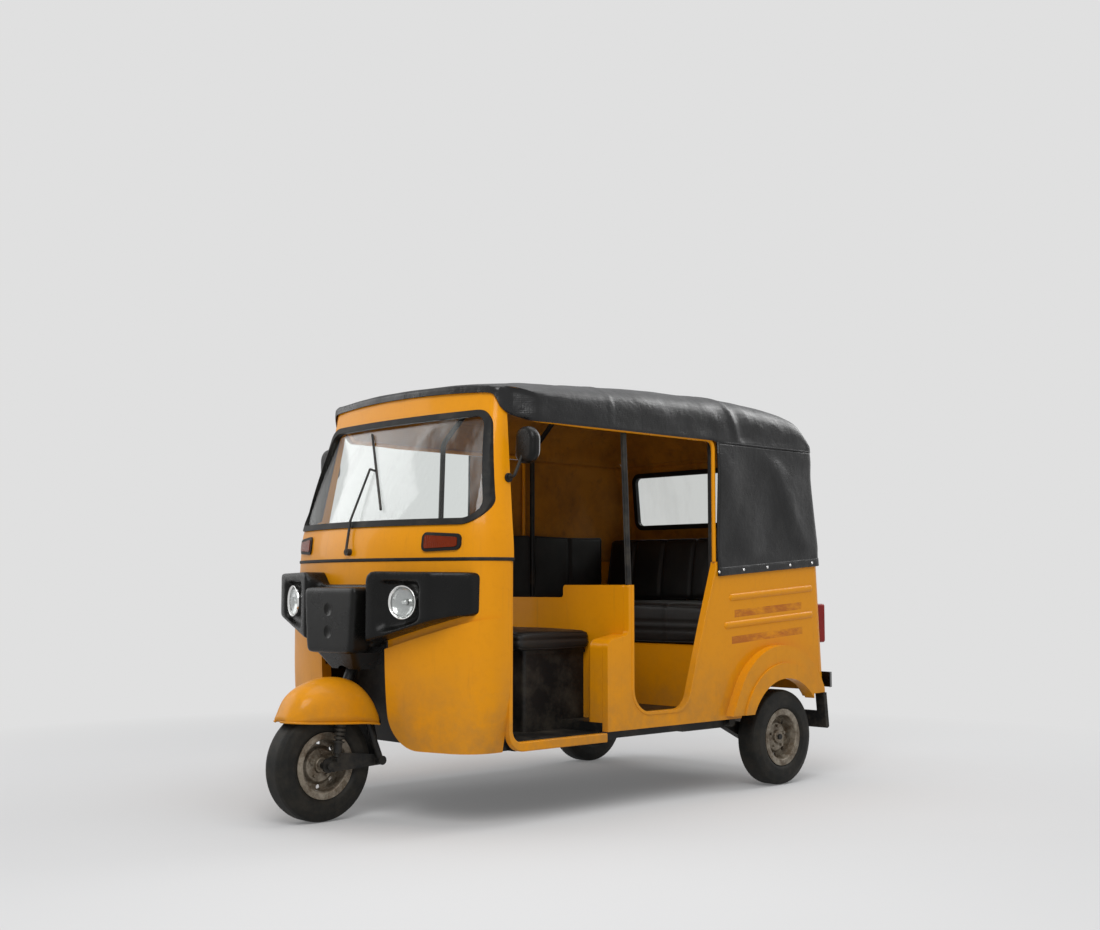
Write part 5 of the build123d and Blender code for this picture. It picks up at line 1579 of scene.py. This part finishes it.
def cushions():
    """Driver's cushion, bench cushion, backrest and the padded panels of the right wall."""
    for name, node, radius, crown, lines, seams in (
            ("driver_pad", "driver_cushion", 0.026, 0.010, (), (0.1,)),
            ("bench_pad", "rear_cushion", 0.034, 0.012, (-0.240, 0.240), (0.06, -0.34))):
        low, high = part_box(node)
        size = high - low
        size.z -= crown * 0.6
        centre = (low + high) / 2 - Vector((0, 0, crown * 0.3))
        pad(name, node, centre, size, Matrix.Identity(3), radius, crown, lines, seams)
    low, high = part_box("rear_backrest")
    lean = math.atan2(1060 - 1010, 1100 - 792)
    middle = Vector((0, 1.037, (low.z + high.z) / 2))
    thick = 0.105
    turn = Matrix.Rotation(math.pi / 2 - lean, 3, "X")
    pad("backrest_pad", "rear_backrest", middle - turn @ Vector((0, 0, thick / 2)),
        (1.118, high.z - low.z - 0.006, thick), turn, 0.026, 0.008, (-0.380, -0.190, 0.0, 0.190, 0.380), ())
    low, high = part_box("trim_panel")
    turn = Matrix(((0, 0, 1), (1, 0, 0), (0, 1, 0)))
    for k, (y0, y1) in enumerate(((low.y, 0.489), (0.523, high.y))):
        size = (y1 - y0, high.z - low.z, high.x - low.x - 0.003)
        pad("side_pad_%d" % (k + 1), "trim_panel" if k == 0 else "",
            ((low.x + high.x) / 2, (y0 + y1) / 2, (low.z + high.z) / 2), size, turn, 0.008, 0.003, (0.0,), (),
            "trim_vinyl")


# Front mudguard

# Mudguard by y in millimetres: half width, z of its edge, its shoulder and its crown
FENDER_SHEET, FENDER_TIP_Z = 0.003, 0.372
FENDER = [
    (-1260.0, 46.0, 372.0, 378.0, 396.0),
    (-1215.0, 78.0, 369.0, 400.0, 468.0),
    (-1140.0, 100.0, 365.0, 420.0, 508.0),
    (-1055.0, 114.0, 361.0, 425.0, 524.0),
    (-975.0, 116.0, 357.0, 415.0, 510.0),
    (-925.0, 112.0, 352.0, 390.0, 468.0),
    (-897.0, 104.0, 347.0, 362.0, 412.0),
]


def fender_form():
    """Front mudguard: one pressed sheet with a rolled edge."""
    rows = []
    for i in range(49):
        y = FENDER[0][0] + (FENDER[-1][0] - FENDER[0][0]) * i / 48
        half, low, side, crown = curve_at(FENDER, y)
        line = [(half, low), (half, low + (side - low) * 0.5)]
        for k in range(13):
            t = k / 12 * math.pi / 2
            x = half * math.cos(t) ** 0.86 if k < 12 else 0.0
            line.append((x, side + (crown - side) * math.sin(t)))
        line = line + [(-x, z) for x, z in line[-2::-1]]
        rows.append([Vector((x, y, z)) * 0.001 for x, z in line])
    tip = [Vector((p.x * 0.8, p.y - 0.004, FENDER_TIP_Z + (p.z - FENDER_TIP_Z) * 0.72))
           for p in rows[0]]
    tip_low = [Vector((p.x * 0.7, p.y - 0.004, FENDER_TIP_Z)) for p in rows[0]]
    rows = [tip_low, tip] + rows
    verts, faces = grid(rows)
    obj = piece("front_fender_sheet", verts, faces, "steering", "yellow_paint", replaces=("front_fender",))
    cleaned(obj.data, MERGE, upward=True)
    mod = obj.modifiers.new("thickness", "SOLIDIFY")
    mod.thickness, mod.offset = FENDER_SHEET, -1
    edge = [rows[k][0] for k in range(2, len(rows), 3)] + [rows[-1][0]]
    edge = [rows[0][len(rows[0]) // 2]] + [rows[0][2], rows[1][0]] + edge
    line = edge + [Vector((-p.x, p.y, p.z)) for p in edge[::-1][:-1]]
    pipe("front_fender_bead", line, 0.0042, "steering", "yellow_paint", smooth_steps=1, sides=8)


def main():
    """Builds the whole scene."""
    view_camera()
    studio()
    dress_nodes()
    cab_skins()
    window_forms()
    waist_forms()
    headlamp_forms()
    grille_form()
    scoop_form()
    indicator_forms()
    mirror_forms()
    side_forms()
    rail_forms()
    fender_form()
    cushions()
    hood_top()
    hood_skirt()


main()
